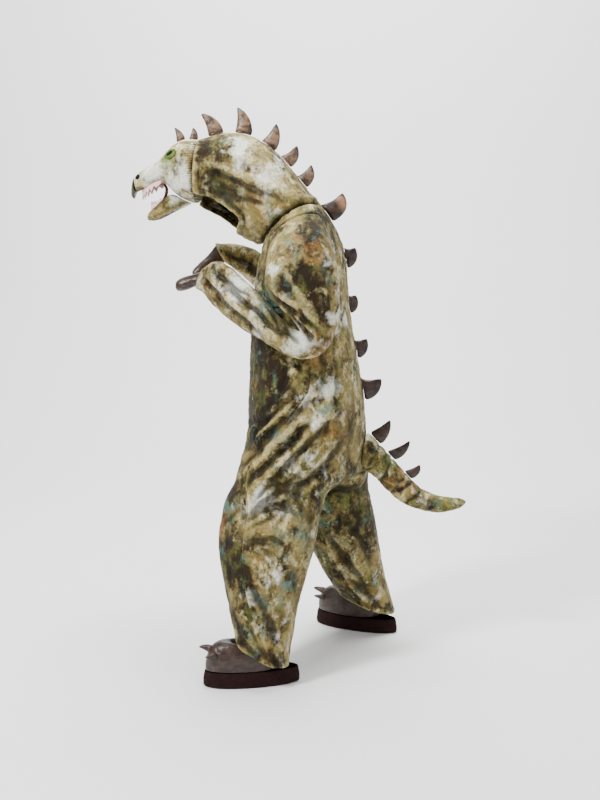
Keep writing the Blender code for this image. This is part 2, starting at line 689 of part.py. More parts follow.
def walled(rings, inner_rings):
    """A cup-shaped wall: closed at its last ring, open at its first, with an inner face."""
    count = len(rings[0])
    outer, faces = loft(rings, close_start=False)
    inner, inner_faces = loft(inner_rings, close_start=False)
    shift = len(outer)
    faces = faces + [tuple(corner + shift for corner in face[::-1]) for face in inner_faces]
    for index in range(count):
        after = (index + 1) % count
        faces += [(after, index, index + shift), (after, index + shift, after + shift)]
    return facing_out(outer + inner, faces)


def ring_of(section, count, side=1, squareness=1.0):
    angles = [2 * math.pi * index / count for index in range(count)]
    return [section_point(section, angle, side, squareness) for angle in angles]


def shrunk(section, wall):
    """The section of the inside of a wall."""
    front = Vector((section.front_y, section.front_z))
    back = Vector((section.back_y, section.back_z))
    step = (back - front).normalized() * wall
    front, back = front + step, back - step
    return section._replace(
        front_y=front.x,
        front_z=front.y,
        back_y=back.x,
        back_z=back.y,
        half_width=section.half_width - wall,
    )


def build_head():
    """The stuffed head, its beak tip and the stuffed lower jaw."""
    rings = [ring_of(section, 22, 1, 0.85) for section in resampled(HEAD, 11)]
    for point in rings[0]:
        point.y -= HEAD_GAP
    place_piece("head", *facing_out(*loft(rings)), PLUSH_PALE)
    beak = [ring_of(section, 16, 1, 0.9) for section in resampled(BEAK, 5)]
    place_piece("beak_tip", *facing_out(*loft(beak)), BEAK_CLOTH)
    jaw = [ring_of(section, 18, 1, 0.75) for section in resampled(JAW, 9)]
    place_piece("lower_jaw", *facing_out(*loft(jaw)), PLUSH)


def build_tail():
    """The stuffed tail. Its first ring lies against the seat of the suit."""
    rings = [ring_of(section, 14) for section in resampled(TAIL, 11)]
    hosts = ["back_left", "back_right", "crest_band"]
    forward = Vector((0.0, -1.0, 0.0))
    rings[0], middle = seated_ring(rings[0], forward, hosts, TAIL_FOOT_HOLLOW)
    points, polygons = loft(rings)
    points[-2] = middle
    points[-1] = Vector((0.0, *TAIL_TIP))
    place_piece("tail", *facing_out(points, polygons), PLUSH)


def spike_edge(start, tip, bow, share):
    """A point on a spike's edge, which is a curve bowed away from the straight line."""
    run = tip - start
    side = Vector((0.0, run.z, -run.y)).normalized()
    control = (start + tip) / 2 + side * 2 * bow
    first = start.lerp(control, share)
    return first.lerp(control.lerp(tip, share), share)


def build_spikes():
    """A row of stuffed spikes, each a bent horn on a lens-shaped foot that fits the crest."""
    hosts = ["crest_band", "head", "tail"]
    for spike in SPIKES:
        head_end = Vector((0.0, spike.head_y, spike.head_z))
        tail_end = Vector((0.0, spike.tail_y, spike.tail_z))
        tip = Vector((0.0, spike.tip_y, spike.tip_z))
        down = ((head_end + tail_end) / 2 - tip).normalized()
        rings = []
        for level in range(SPIKE_LEVELS):
            share = level / SPIKE_LEVELS
            near = spike_edge(head_end, tip, spike.bow * SPIKE_HEAD_SIDE_BOW, share)
            far = spike_edge(tail_end, tip, spike.bow, share)
            thick = spike.half_thickness * (1 - share**1.6)
            ring = []
            for index in range(SPIKE_POINTS):
                angle = 2 * math.pi * index / SPIKE_POINTS
                point = near.lerp(far, (1 - math.cos(angle)) / 2)
                point.x = thick * math.sin(angle)
                ring.append(point)
            rings.append(ring)
        rings[0], middle = seated_ring(rings[0], down, hosts, SPIKE_FOOT_HOLLOW)
        points, polygons = loft(rings)
        points[-2] = middle
        points[-1] = tip
        place_piece(spike.name, *facing_out(points, polygons), BROWN_SATIN)


def build_mitts():
    """Hollow hand covers that come out of the cuffs, open at the wrist."""
    pairs = (("left", 1, SLEEVE_LEFT, MITT_LEFT), ("right", -1, SLEEVE_RIGHT, MITT_RIGHT))
    for name, side, sleeve, table in pairs:
        before, cuff = sleeve[-2:]
        inside = Section(*(a + (b - a) * MITT_SLEEVE_SHARE for a, b in zip(before, cuff)))
        sections = [shrunk(inside, MITT_END_SEAT), shrunk(cuff, CUFF_SEAT)]
        sections += resampled(table, 6)
        outer = [ring_of(section, 14, side) for section in sections]
        inner = [ring_of(shrunk(section, SATIN), 14, side) for section in sections[:-1]]
        points, polygons = walled(outer, inner)
        place_piece(f"mitt_{name}", points, polygons, BROWN_SATIN)


def lay_placket(suit, rings):
    """The flap over the centre-front opening, made from the points under it, moved out."""
    normals = suit.normals()
    flap = Surface()
    above = None
    for ring in rings[: PLACKET_LAST_RING + 1]:
        points = []
        for corner in (ring[-1], ring[0], ring[1]):
            points.append(suit.points[corner] + normals[corner] * (CLOTH + SEAM_GAP * 1.5))
        row = flap.row(points)
        if above:
            flap.strip(above, row, lambda column: "placket", closed=False)
        above = row
    place_piece("placket", *flap.panel("placket", CLOTH * 0.8), PLUSH)


def lay_patch(patch, side, host):
    """A felt patch on the head's side, laid along the surface under it."""
    rings = []
    for share in PATCH_RINGS:
        for index in range(PATCH_POINTS):
            angle = 2 * math.pi * index / PATCH_POINTS
            along, up = patch.half_long * math.cos(angle), patch.half_tall * math.sin(angle)
            y = patch.y + share * (along * math.cos(patch.tilt) - up * math.sin(patch.tilt))
            z = patch.z + share * (along * math.sin(patch.tilt) + up * math.cos(patch.tilt))
            rings.append((y, z))
    under, over = [], []
    for y, z in [(patch.y, patch.z)] + rings:
        start = Vector((side * 0.3, y, z))
        hit, normal, _, _ = seats[host].ray_cast(start, Vector((-side, 0.0, 0.0)))
        under.append(hit + normal * patch.lift)
        over.append(hit + normal * (patch.lift + FELT))
    points = over + under
    low = len(over)
    polygons = []
    for index in range(PATCH_POINTS):
        after = (index + 1) % PATCH_POINTS
        a, b = 1 + index, 1 + after
        polygons += [(0, a, b), (low, b + low, a + low)]
        for _ in PATCH_RINGS[1:]:
            c, d = a + PATCH_POINTS, b + PATCH_POINTS
            polygons += [(a, c, d), (a, d, b)]
            polygons += [(a + low, d + low, c + low), (a + low, b + low, d + low)]
            a, b = c, d
        polygons += [(a, a + low, b + low), (a, b + low, b)]
    name = f"{patch.name}_{'left' if side > 0 else 'right'}"
    place_piece(name, *facing_out(points, polygons), patch.finish)


def lay_teeth(row):
    """A strip of felt teeth along the edge of a jaw."""
    columns = 2 * TEETH_IN_ROW + 1
    path = []
    for column in range(columns):
        turn = math.pi * (column / (columns - 1) - 0.5)
        ahead = abs(math.cos(turn)) ** 0.7
        y = row.corner_y + (row.front_y - row.corner_y) * ahead
        half = row.corner_half + (row.front_half - row.corner_half) * ahead
        x = half * math.copysign(abs(math.sin(turn)) ** 0.7, turn)
        path.append((x, y, ahead))
    points = []
    for column, (x, y, ahead) in enumerate(path):
        before, after = path[max(0, column - 1)], path[min(columns - 1, column + 1)]
        outward = Vector((after[1] - before[1], before[0] - after[0], 0.0)).normalized()
        start = Vector((x, y, 1.50 + row.up * 0.05))
        hit = nearest_hit([row.host], start, Vector((0.0, 0.0, -row.up)), 0.3)
        root = hit.z + row.up * MOUTH_LIFT
        tall = row.corner_tall + (row.front_tall - row.corner_tall) * ahead
        tall *= 1.0 if column % 2 else TOOTH_VALLEY
        for z in (root, root + row.up * tall):
            for share in (0.5, -0.5):
                points.append(Vector((x, y, z)) + outward * FELT * share)
    polygons = []
    for column in range(columns - 1):
        a, b = 4 * column, 4 * column + 4
        for one, other in ((0, 1), (1, 3), (3, 2), (2, 0)):
            polygons += [(a + one, b + one, b + other), (a + one, b + other, a + other)]
    polygons += [(0, 1, 3), (0, 3, 2)]
    last = 4 * (columns - 1)
    polygons += [(last, last + 3, last + 1), (last, last + 2, last + 3)]
    place_piece(row.name, *facing_out(points, polygons), TOOTH_FELT)


def mouth_height(body, x, y):
    """The height of the roof of the mouth, or of the lower jaw's top, where the lining lies."""
    way = -1 if body == "head" else 1
    start = Vector((x, y, MOUTH_MIDDLE_Z + 0.05 * (way > 0)))
    hit = nearest_hit([body], start, Vector((0.0, 0.0, -way)), 0.3)
    return hit.z + way * (FELT / 2 + MOUTH_LIFT)


def lay_lining():
    """The red lining of the mouth: the roof, the fold at the corner and the floor."""
    lining = Surface()
    stations = [(y, ("head",)) for y in LINING_ROOF_STATIONS]
    stations += [(LINING_CORNER_Y, ("head", "lower_jaw"))]
    stations += [(y, ("lower_jaw",)) for y in LINING_FLOOR_STATIONS]
    above = None
    for y, bodies in stations:
        ahead = (y - LINING_CORNER_Y) / (LINING_ROOF_STATIONS[0] - LINING_CORNER_Y)
        half = LINING_BACK_HALF + (LINING_FRONT_HALF - LINING_BACK_HALF) * ahead
        points = []
        for share in (-1.0, -0.5, 0.0, 0.5, 1.0):
            heights = [mouth_height(body, half * share, y) for body in bodies]
            points.append(Vector((half * share, y, sum(heights) / len(heights))))
        row = lining.row(points)
        if above:
            lining.strip(above, row, lambda column: "mouth_lining", closed=False)
        above = row
    points, polygons = lining.panel("mouth_lining", FELT)
    place_piece("mouth_lining", *facing_out(points, polygons), RED_LINING)


def on_foot(foot, point):
    """A point given along and across the foot, in its place on the floor."""
    along, across = point.y, foot.side * point.x
    return Vector(
        (
            foot.centre_x + across * math.cos(foot.toe_out) - along * math.sin(foot.toe_out),
            foot.centre_y + across * math.sin(foot.toe_out) + along * math.cos(foot.toe_out),
            point.z,
        )
    )


def on_cover(foot, point):
    """A point of the cover, whose height above the sole differs from foot to foot."""
    placed = on_foot(foot, point)
    placed.z = SOLE_HEIGHT + (point.z - SOLE_HEIGHT) * foot.cover_share
    return placed


def on_rim(point):
    """A point of the cover's lowest ring, moved across onto the middle of the sole's rim."""
    length = SOLE_HALF_LENGTH * SOLE_RIM_SHARE - SOLE_WALL / 2
    ahead = min(1.0, abs(point.y) / length) ** (1 / 0.9)
    ahead = math.copysign(ahead, -point.y)
    half = (SOLE_HALF_WIDTH + SOLE_TOE_EXTRA * ahead) * SOLE_RIM_SHARE - SOLE_WALL / 2
    widest = half * math.sqrt(1 - ahead * ahead)
    if point.y < COVER_RIM_END:
        point.x = math.copysign(widest, point.x)
    return point


def sole_ring(foot, share, drawn_in, height):
    ring = []
    for index in range(SOLE_POINTS):
        angle = 2 * math.pi * index / SOLE_POINTS
        ahead = math.cos(angle)
        along = -(SOLE_HALF_LENGTH * share - drawn_in) * math.copysign(abs(ahead) ** 0.9, ahead)
        half = SOLE_HALF_WIDTH + SOLE_TOE_EXTRA * ahead
        across = (half * share - drawn_in) * math.sin(angle)
        ring.append(on_foot(foot, Vector((across, along, height))))
    return ring


def build_feet():
    """The soles with their low walls, the padded toe covers and the claws."""
    for foot in FEET:
        outer = [
            sole_ring(foot, SOLE_RIM_SHARE, 0.0, SOLE_HEIGHT),
            sole_ring(foot, 1.0, 0.0, SOLE_HEIGHT * 0.4),
            sole_ring(foot, 1.0, 0.0, SOLE_WALL),
            sole_ring(foot, 0.97, 0.0, 0.0),
        ]
        inner = [
            sole_ring(foot, SOLE_RIM_SHARE, SOLE_WALL, SOLE_HEIGHT),
            sole_ring(foot, 1.0, SOLE_WALL, SOLE_HEIGHT * 0.4),
            sole_ring(foot, 0.97, SOLE_WALL, 1.5 * SOLE_WALL),
        ]
        place_piece(f"sole_{foot.name}", *walled(outer, inner), DARK_SOLE)
        cover = Surface()
        above = None
        for section in resampled(FOOT_COVER, 7):
            ring = ring_of(section, 16, 1, 0.9)
            if above is None:
                ring = [on_rim(point) for point in ring]
            row = cover.row([on_cover(foot, point) for point in ring])
            if above:
                cover.strip(above, row, lambda column: "cover", flip=foot.side > 0)
            above = row
        name = f"foot_cover_{foot.name}"
        place_piece(name, *cover.panel("cover", SATIN), BROWN_SATIN)
        for claw in CLAWS:
            build_claw(foot, claw, name)


def build_claw(foot, claw, host):
    """A small stuffed claw whose flat foot lies on the toe of a cover, bent forward."""
    ahead = on_cover(foot, Vector((claw.across, -0.2, claw.height)))
    aim = on_cover(foot, Vector((claw.across, 0.0, claw.height))) - ahead
    forward = -aim.normalized()
    hit, normal, _, _ = seats[host].ray_cast(ahead, -forward)
    root = hit + normal * CLAW_GAP
    bend = root + normal * claw.length / 2
    tip = root + (normal + forward * CLAW_LEAN).normalized() * claw.length
    rings = []
    for level in range(CLAW_LEVELS):
        share = level / CLAW_LEVELS
        middle = root.lerp(bend, share).lerp(bend.lerp(tip, share), share)
        along = (bend - root).lerp(tip - bend, share).normalized()
        side = along.cross(Vector((0.0, 0.0, 1.0))).normalized()
        top = side.cross(along)
        radius = claw.radius * (1 - share**1.5)
        ring = []
        for index in range(CLAW_POINTS):
            angle = 2 * math.pi * index / CLAW_POINTS
            ring.append(middle + (side * math.cos(angle) + top * math.sin(angle)) * radius)
        rings.append(ring)
    points, polygons = loft(rings)
    points[-1] = tip
    place_piece(f"claw_{foot.name}_{claw.name}", *facing_out(points, polygons), BROWN_SATIN)


build_suit()
build_head()
for row in TEETH:
    lay_teeth(row)
lay_lining()
for side in (1, -1):
    for patch in EYES:
        ending = "left" if side > 0 else "right"
        host = patch.host if patch.host == "head" else f"{patch.host}_{ending}"
        lay_patch(patch, side, host)
build_tail()
build_spikes()
build_mitts()
build_feet()
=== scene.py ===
"""Dinosaur costume: looks of the plush jumpsuit, stuffed head and tail, spikes and foot covers."""

import json
import math

import bmesh
import bpy
import numpy as np
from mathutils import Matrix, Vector, kdtree, noise

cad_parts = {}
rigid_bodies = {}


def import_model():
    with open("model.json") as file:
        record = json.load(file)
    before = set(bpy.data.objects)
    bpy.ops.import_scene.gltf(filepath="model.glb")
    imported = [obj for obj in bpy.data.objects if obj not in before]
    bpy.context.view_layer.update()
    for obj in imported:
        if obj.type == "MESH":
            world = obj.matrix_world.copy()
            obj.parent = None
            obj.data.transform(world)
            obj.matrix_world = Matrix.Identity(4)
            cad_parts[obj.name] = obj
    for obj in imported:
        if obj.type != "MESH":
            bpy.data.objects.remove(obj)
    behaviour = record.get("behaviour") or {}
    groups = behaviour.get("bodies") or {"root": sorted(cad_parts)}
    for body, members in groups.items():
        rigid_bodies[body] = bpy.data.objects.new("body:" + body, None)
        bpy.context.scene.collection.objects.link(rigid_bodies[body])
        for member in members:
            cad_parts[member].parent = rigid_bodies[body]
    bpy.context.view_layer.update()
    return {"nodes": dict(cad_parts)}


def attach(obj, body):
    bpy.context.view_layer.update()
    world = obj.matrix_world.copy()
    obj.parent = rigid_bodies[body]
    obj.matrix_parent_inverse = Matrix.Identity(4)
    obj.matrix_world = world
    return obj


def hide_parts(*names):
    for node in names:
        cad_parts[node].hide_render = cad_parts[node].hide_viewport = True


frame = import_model()
nodes = frame["nodes"]

# Studio: a pale floor under the soles, a pale surround and wide soft lights, seen from the
# costume's left side at eye level.
FLOOR_Z = -1.44
CAMERA_PLACE = (3.4915, 0.2241, -0.02)
CAMERA_YAW = math.radians(94)
# The picture is 800 pixels high, its eye is 1095 pixels away and its horizon 176 above the middle.
PICTURE_HEIGHT = 800
PICTURE_AWAY = 1095
HORIZON_ABOVE_MIDDLE = 176
SENSOR = 36


def new_object(name, data):
    """A new object in the scene."""
    made = bpy.data.objects.new(name, data)
    bpy.context.scene.collection.objects.link(made)
    return made


camera = new_object("camera", bpy.data.cameras.new("camera"))
camera.data.lens = SENSOR * PICTURE_AWAY / PICTURE_HEIGHT
camera.data.sensor_width = SENSOR
camera.location = CAMERA_PLACE
camera_pitch = math.pi / 2 - math.atan(HORIZON_ABOVE_MIDDLE / PICTURE_AWAY)
camera.rotation_euler = (camera_pitch, 0.0, CAMERA_YAW)
bpy.context.scene.camera = camera


class Value:
    """A shader socket that takes part in Python sums."""

    def __init__(self, tree, socket):
        self.tree = tree
        self.socket = socket

    def maths(self, operation, *terms):
        node = self.tree.nodes.new("ShaderNodeMath")
        node.operation = operation
        for place, term in enumerate(terms):
            if isinstance(term, Value):
                self.tree.links.new(term.socket, node.inputs[place])
            else:
                node.inputs[place].default_value = term
        return Value(self.tree, node.outputs[0])

    def __add__(self, other):
        return self.maths("ADD", self, other)

    def __sub__(self, other):
        return self.maths("SUBTRACT", self, other)

    def __mul__(self, other):
        return self.maths("MULTIPLY", self, other)

    def __radd__(self, other):
        return self.maths("ADD", other, self)

    def __rsub__(self, other):
        return self.maths("SUBTRACT", other, self)

    def __rmul__(self, other):
        return self.maths("MULTIPLY", other, self)

    def __abs__(self):
        return self.maths("ABSOLUTE", self)


class Finish:
    """A material in the making: a Principled shader and one way to add any other node."""

    def __init__(self, name, roughness=0.8, **constants):
        self.material = bpy.data.materials.new(name)
        self.material.use_nodes = True
        self.tree = self.material.node_tree
        self.shader = self.tree.nodes["Principled BSDF"]
        self.shader.inputs["Roughness"].default_value = roughness
        for socket, value in constants.items():
            self.shader.inputs[socket.replace("_", " ")].default_value = value

    def node(self, kind, settings=None, values=None, output=0):
        """A new node: its settings first, then the values or links of its sockets."""
        made = self.tree.nodes.new(kind)
        for name, setting in (settings or {}).items():
            setattr(made, name, setting)
        for name, value in (values or {}).items():
            socket = made.inputs[name]
            if isinstance(value, Value):
                self.tree.links.new(value.socket, socket)
            elif socket.type == "RGBA":
                socket.default_value = (*value, 1.0)
            else:
                socket.default_value = value
        return Value(self.tree, made.outputs[output])

    def place(self):
        """Object coordinates, the fourth output of the node."""
        return self.node("ShaderNodeTexCoord", output=3)

    def noise(self, size, detail=3.0, rough=0.5, distortion=0.0, shift=0.0, stretch=(1, 1, 1)):
        """Soft noise whose blotches are about size metres across."""
        values = {"Location": (shift, shift * 0.7, -shift), "Scale": stretch}
        moved = self.node("ShaderNodeMapping", values={"Vector": self.place(), **values})
        values = {"Vector": moved, "Scale": 1 / size, "Detail": detail}
        values.update({"Roughness": rough, "Distortion": distortion})
        return self.node("ShaderNodeTexNoise", values=values)

    def between(self, value, low, high):
        """0 below low, 1 above high, and a soft step from one to the other."""
        settings = {"interpolation_type": "SMOOTHSTEP"}
        values = {"Value": value, "From Min": low, "From Max": high}
        return self.node("ShaderNodeMapRange", settings, values)

    def stored(self, share):
        """A share that piece_from stored on the mesh."""
        return self.node("ShaderNodeAttribute", {"attribute_name": f"dye_{share}"}, output=2)

    def mix(self, share, one, other, blend="MIX"):
        """A colour between two; a Mix node's colour sockets share a name, so they go by number."""
        settings = {"data_type": "RGBA", "blend_type": blend}
        return self.node("ShaderNodeMix", settings, {0: share, 6: one, 7: other}, output=2)

    def bump(self, height, distance, strength=1.0, under=None):
        """A relief of that height in metres, over another one if given."""
        values = {"Height": height, "Distance": distance, "Strength": strength}
        if under:
            values["Normal"] = under
        return self.node("ShaderNodeBump", values=values)

    def feed(self, **inputs):
        """Links the named inputs of the shader and hands over the finished material."""
        for name, value in inputs.items():
            self.tree.links.new(value.socket, self.shader.inputs[name.replace("_", " ")])
        return self.material


def dyed(red, green, blue):
    """A colour named by its 0 to 255 values, as light."""
    return tuple(((value / 255 + 0.055) / 1.055) ** 2.4 for value in (red, green, blue))


studio_white = Finish("studio_white", roughness=0.9)
speck = studio_white.noise(0.4, detail=2.0)
studio_white.feed(Base_Color=studio_white.mix(speck, (0.92, 0.92, 0.915), (0.94, 0.94, 0.935)))

BACKDROP_X = -4.2
BACKDROP_BEND = 2.0
BACKDROP_HALF_WIDTH = 9.0
BACKDROP_FRONT = 9.0
BACKDROP_TOP = 6.0
BACKDROP_STEPS = 16
backdrop_line = [(BACKDROP_FRONT, FLOOR_Z), (BACKDROP_X + BACKDROP_BEND, FLOOR_Z)]
for step in range(1, BACKDROP_STEPS + 1):
    turn = math.radians(90) * step / BACKDROP_STEPS
    along = BACKDROP_X + BACKDROP_BEND * (1 - math.sin(turn))
    backdrop_line.append((along, FLOOR_Z + BACKDROP_BEND * (1 - math.cos(turn))))
backdrop_line.append((BACKDROP_X, BACKDROP_TOP))
backdrop_points, backdrop_faces = [], []
for step, (along, height) in enumerate(backdrop_line):
    for side in (-1, 1):
        backdrop_points.append((along, side * BACKDROP_HALF_WIDTH, height))
    if step:
        backdrop_faces.append((2 * step - 2, 2 * step - 1, 2 * step + 1, 2 * step))
floor_mesh = bpy.data.meshes.new("floor")
floor_mesh.from_pydata(backdrop_points, [], backdrop_faces)
floor_mesh.shade_smooth()
floor_mesh.materials.append(studio_white.material)
floor = new_object("floor", floor_mesh)

SKY_COLOUR = (0.97, 0.98, 1.0, 1.0)
SKY_STRENGTH = 0.52
world = bpy.data.worlds.new("studio")
world.use_nodes = True
sky = world.node_tree.nodes["Background"]
sky.inputs["Color"].default_value = SKY_COLOUR
sky.inputs["Strength"].default_value = SKY_STRENGTH
bpy.context.scene.world = world

LIGHTS = {
    # name: (place, width, watts)
    "key": ((2.6, -2.6, 2.4), 0.7, 300.0),
    "fill": ((2.6, 2.6, 0.6), 1.6, 30.0),
    "top": ((0.3, 0.4, 3.2), 1.0, 90.0),
    "backdrop": ((-1.2, 0.0, 3.4), 3.0, 330.0),
}
LIGHT_AIM = (0.0, 0.0, -0.2)
BACKDROP_LIGHT_AIM = (-4.0, 0.0, -0.4)
for name, (place, width, watts) in LIGHTS.items():
    light = bpy.data.lights.new(name, "AREA")
    light.size = width
    light.energy = watts
    lamp = new_object(name, light)
    lamp.location = place
    aim = Vector(BACKDROP_LIGHT_AIM if name == "backdrop" else LIGHT_AIM)
    lamp.rotation_euler = (aim - Vector(place)).to_track_quat("-Z", "Y").to_euler()


# Jumpsuit and hood: crushed plush on a thin knit, cut as front, back, sleeve, hood and crest
# pieces and sewn from inside. Its folds are placed one by one from a table, the puckers along its
# seams from noise.
HOLD_POINT = np.array((0.0, 0.02, 1.44))
CLOTH = 0.0026
PAIRED = ("front", "back", "sleeve", "hood")
PANELS = [f"{kind}_{side}" for kind in PAIRED for side in ("left", "right")] + ["crest_band"]
SUIT_LEVEL = 3
SAME_POINT = 1e-5
RIM_MARGIN = 1e-4
SEAM_WELD = 0.0012
SEAM_SINK, SEAM_SINK_REACH = 0.0022, 0.0035
SEAM_ROLL, SEAM_ROLL_AWAY, SEAM_ROLL_REACH = 0.0016, 0.010, 0.006
SEAM_CALM, SEAM_CALM_REACH = 0.7, 0.012
PUCKER, PUCKER_SIZE, PUCKER_REACH = 0.0022, 0.007, 0.013
NECK_SINK, NECK_SINK_REACH = 0.008, 0.007
NECK_ROLL, NECK_ROLL_AWAY, NECK_ROLL_REACH = 0.006, 0.019, 0.010
HEM_ROLL, HEM_ROLL_REACH = 0.0012, 0.012
HEM_SINK, HEM_DEPTH, HEM_SINK_REACH = 0.0014, 0.020, 0.004
# Painted shade along the neck groove and seams, painted highlight on hem edges, painted shade on
# the hem's fold line:
NECK_SHADE, NECK_SHADE_REACH = 0.9, 0.006
SEAM_SHADE, SEAM_SHADE_REACH = 0.5, 0.002
HEM_LIGHT, HEM_LIGHT_REACH = 0.9, 0.006
HEM_SHADE = 0.5
CREST_FOLD_SHARE = 0.3
RIDGE_HEIGHT = 0.009
CRUMPLES = [
    # size, seed, height
    (0.050, 4, 0.0020),
    (0.022, 1, 0.0016),
    (0.010, 2, 0.0008),
]
FOLD_WANDER = [
    # size, how far a fold's line strays
    (0.060, 0.009),
    (0.022, 0.003),
]
FOLD_UNEVENNESS, FOLD_UNEVEN_SIZE = 0.45, 0.050
FOLD_SIDE_GAIN = 1.5
FOLD_END_SHARE = 0.08
FOLD_TAPER_POWER = 0.8


def cad_mesh(name):
    """A node's mesh to work on, its doubled points joined."""
    cut = bmesh.new()
    cut.from_mesh(nodes[name].data)
    bmesh.ops.remove_doubles(cut, verts=cut.verts, dist=SAME_POINT)
    return cut


def skins(name, wall):
    """The two skins of a CAD cloth wall, without the rim that joins them."""
    cut = cad_mesh(name)
    rim = []
    for face in cut.faces:
        if any(abs(edge.calc_length() - wall) < RIM_MARGIN for edge in face.edges):
            rim.append(face)
    bmesh.ops.delete(cut, geom=rim, context="FACES")
    left = set(cut.faces)
    islands = []
    while left:
        island = [left.pop()]
        for face in island:
            near = {beyond for edge in face.edges for beyond in edge.link_faces} & left
            left -= near
            island.extend(near)
        islands.append(island)
    return cut, islands


def bulge(island):
    """How far an island's faces look away from its own middle: more for an outer skin."""
    middle = sum((face.calc_center_median() for face in island), Vector()) / len(island)
    total = 0.0
    for face in island:
        total += face.calc_area() * face.normal.dot(face.calc_center_median() - middle)
    return total


def lists_of(cut):
    """The points and faces of a bmesh, which is then freed."""
    cut.verts.index_update()
    points = [tuple(vert.co) for vert in cut.verts]
    faces = [[vert.index for vert in face.verts] for face in cut.faces]
    cut.free()
    return points, faces


def outer_skin(name, wall):
    """The points and quads of a cloth wall's outer skin."""
    cut, islands = skins(name, wall)
    keep = set(max(islands, key=bulge))
    bmesh.ops.delete(cut, geom=[face for face in cut.faces if face not in keep], context="FACES")
    bmesh.ops.join_triangles(
        cut, faces=cut.faces, angle_face_threshold=1.2, angle_shape_threshold=1.4
    )
    return lists_of(cut)


def refined(points, faces, level, marks=None, kind="CATMULL_CLARK"):
    """The mesh after subdivision, as arrays: points, quads and each quad's mark."""
    mesh = bpy.data.meshes.new("cut")
    mesh.from_pydata(points, [], faces)
    layer = mesh.attributes.new("mark", "INT", "FACE")
    layer.data.foreach_set("value", marks if marks is not None else [0] * len(faces))
    piece = new_object("cut", mesh)
    smooth = piece.modifiers.new("smooth", "SUBSURF")
    smooth.subdivision_type = kind
    smooth.levels = smooth.render_levels = level
    graph = bpy.context.evaluated_depsgraph_get()
    done = bpy.data.meshes.new_from_object(piece.evaluated_get(graph))
    bpy.data.objects.remove(piece)
    place = np.empty(len(done.vertices) * 3)
    done.vertices.foreach_get("co", place)
    corners = np.empty(len(done.loops), int)
    done.loops.foreach_get("vertex_index", corners)
    found = np.empty(len(done.polygons), int)
    done.attributes["mark"].data.foreach_get("value", found)
    bpy.data.meshes.remove(done)
    bpy.data.meshes.remove(mesh)
    return place.reshape(-1, 3), corners.reshape(-1, 4), found


def normals_of(points, quads):
    """Each point's outward direction, from the quads round it."""
    across = points[quads[:, 2]] - points[quads[:, 0]]
    along = points[quads[:, 3]] - points[quads[:, 1]]
    facing = np.cross(across, along)
    found = np.zeros_like(points)
    for corner in range(4):
        np.add.at(found, quads[:, corner], facing)
    return found / np.maximum(np.linalg.norm(found, axis=1, keepdims=True), 1e-12)


def beside(away, reach):
    """1 on a line, and softly down to 0 a little beyond its reach."""
    return np.exp(-((away / reach) ** 2))


def speckle(points, size, seed):
    """Smooth noise at each point, about -1 to 1, with features of that size."""
    shift = Vector((seed * 7.3, seed * 3.1, -seed * 5.7))
    return np.array([noise.noise(Vector(point) / size + shift) for point in points])


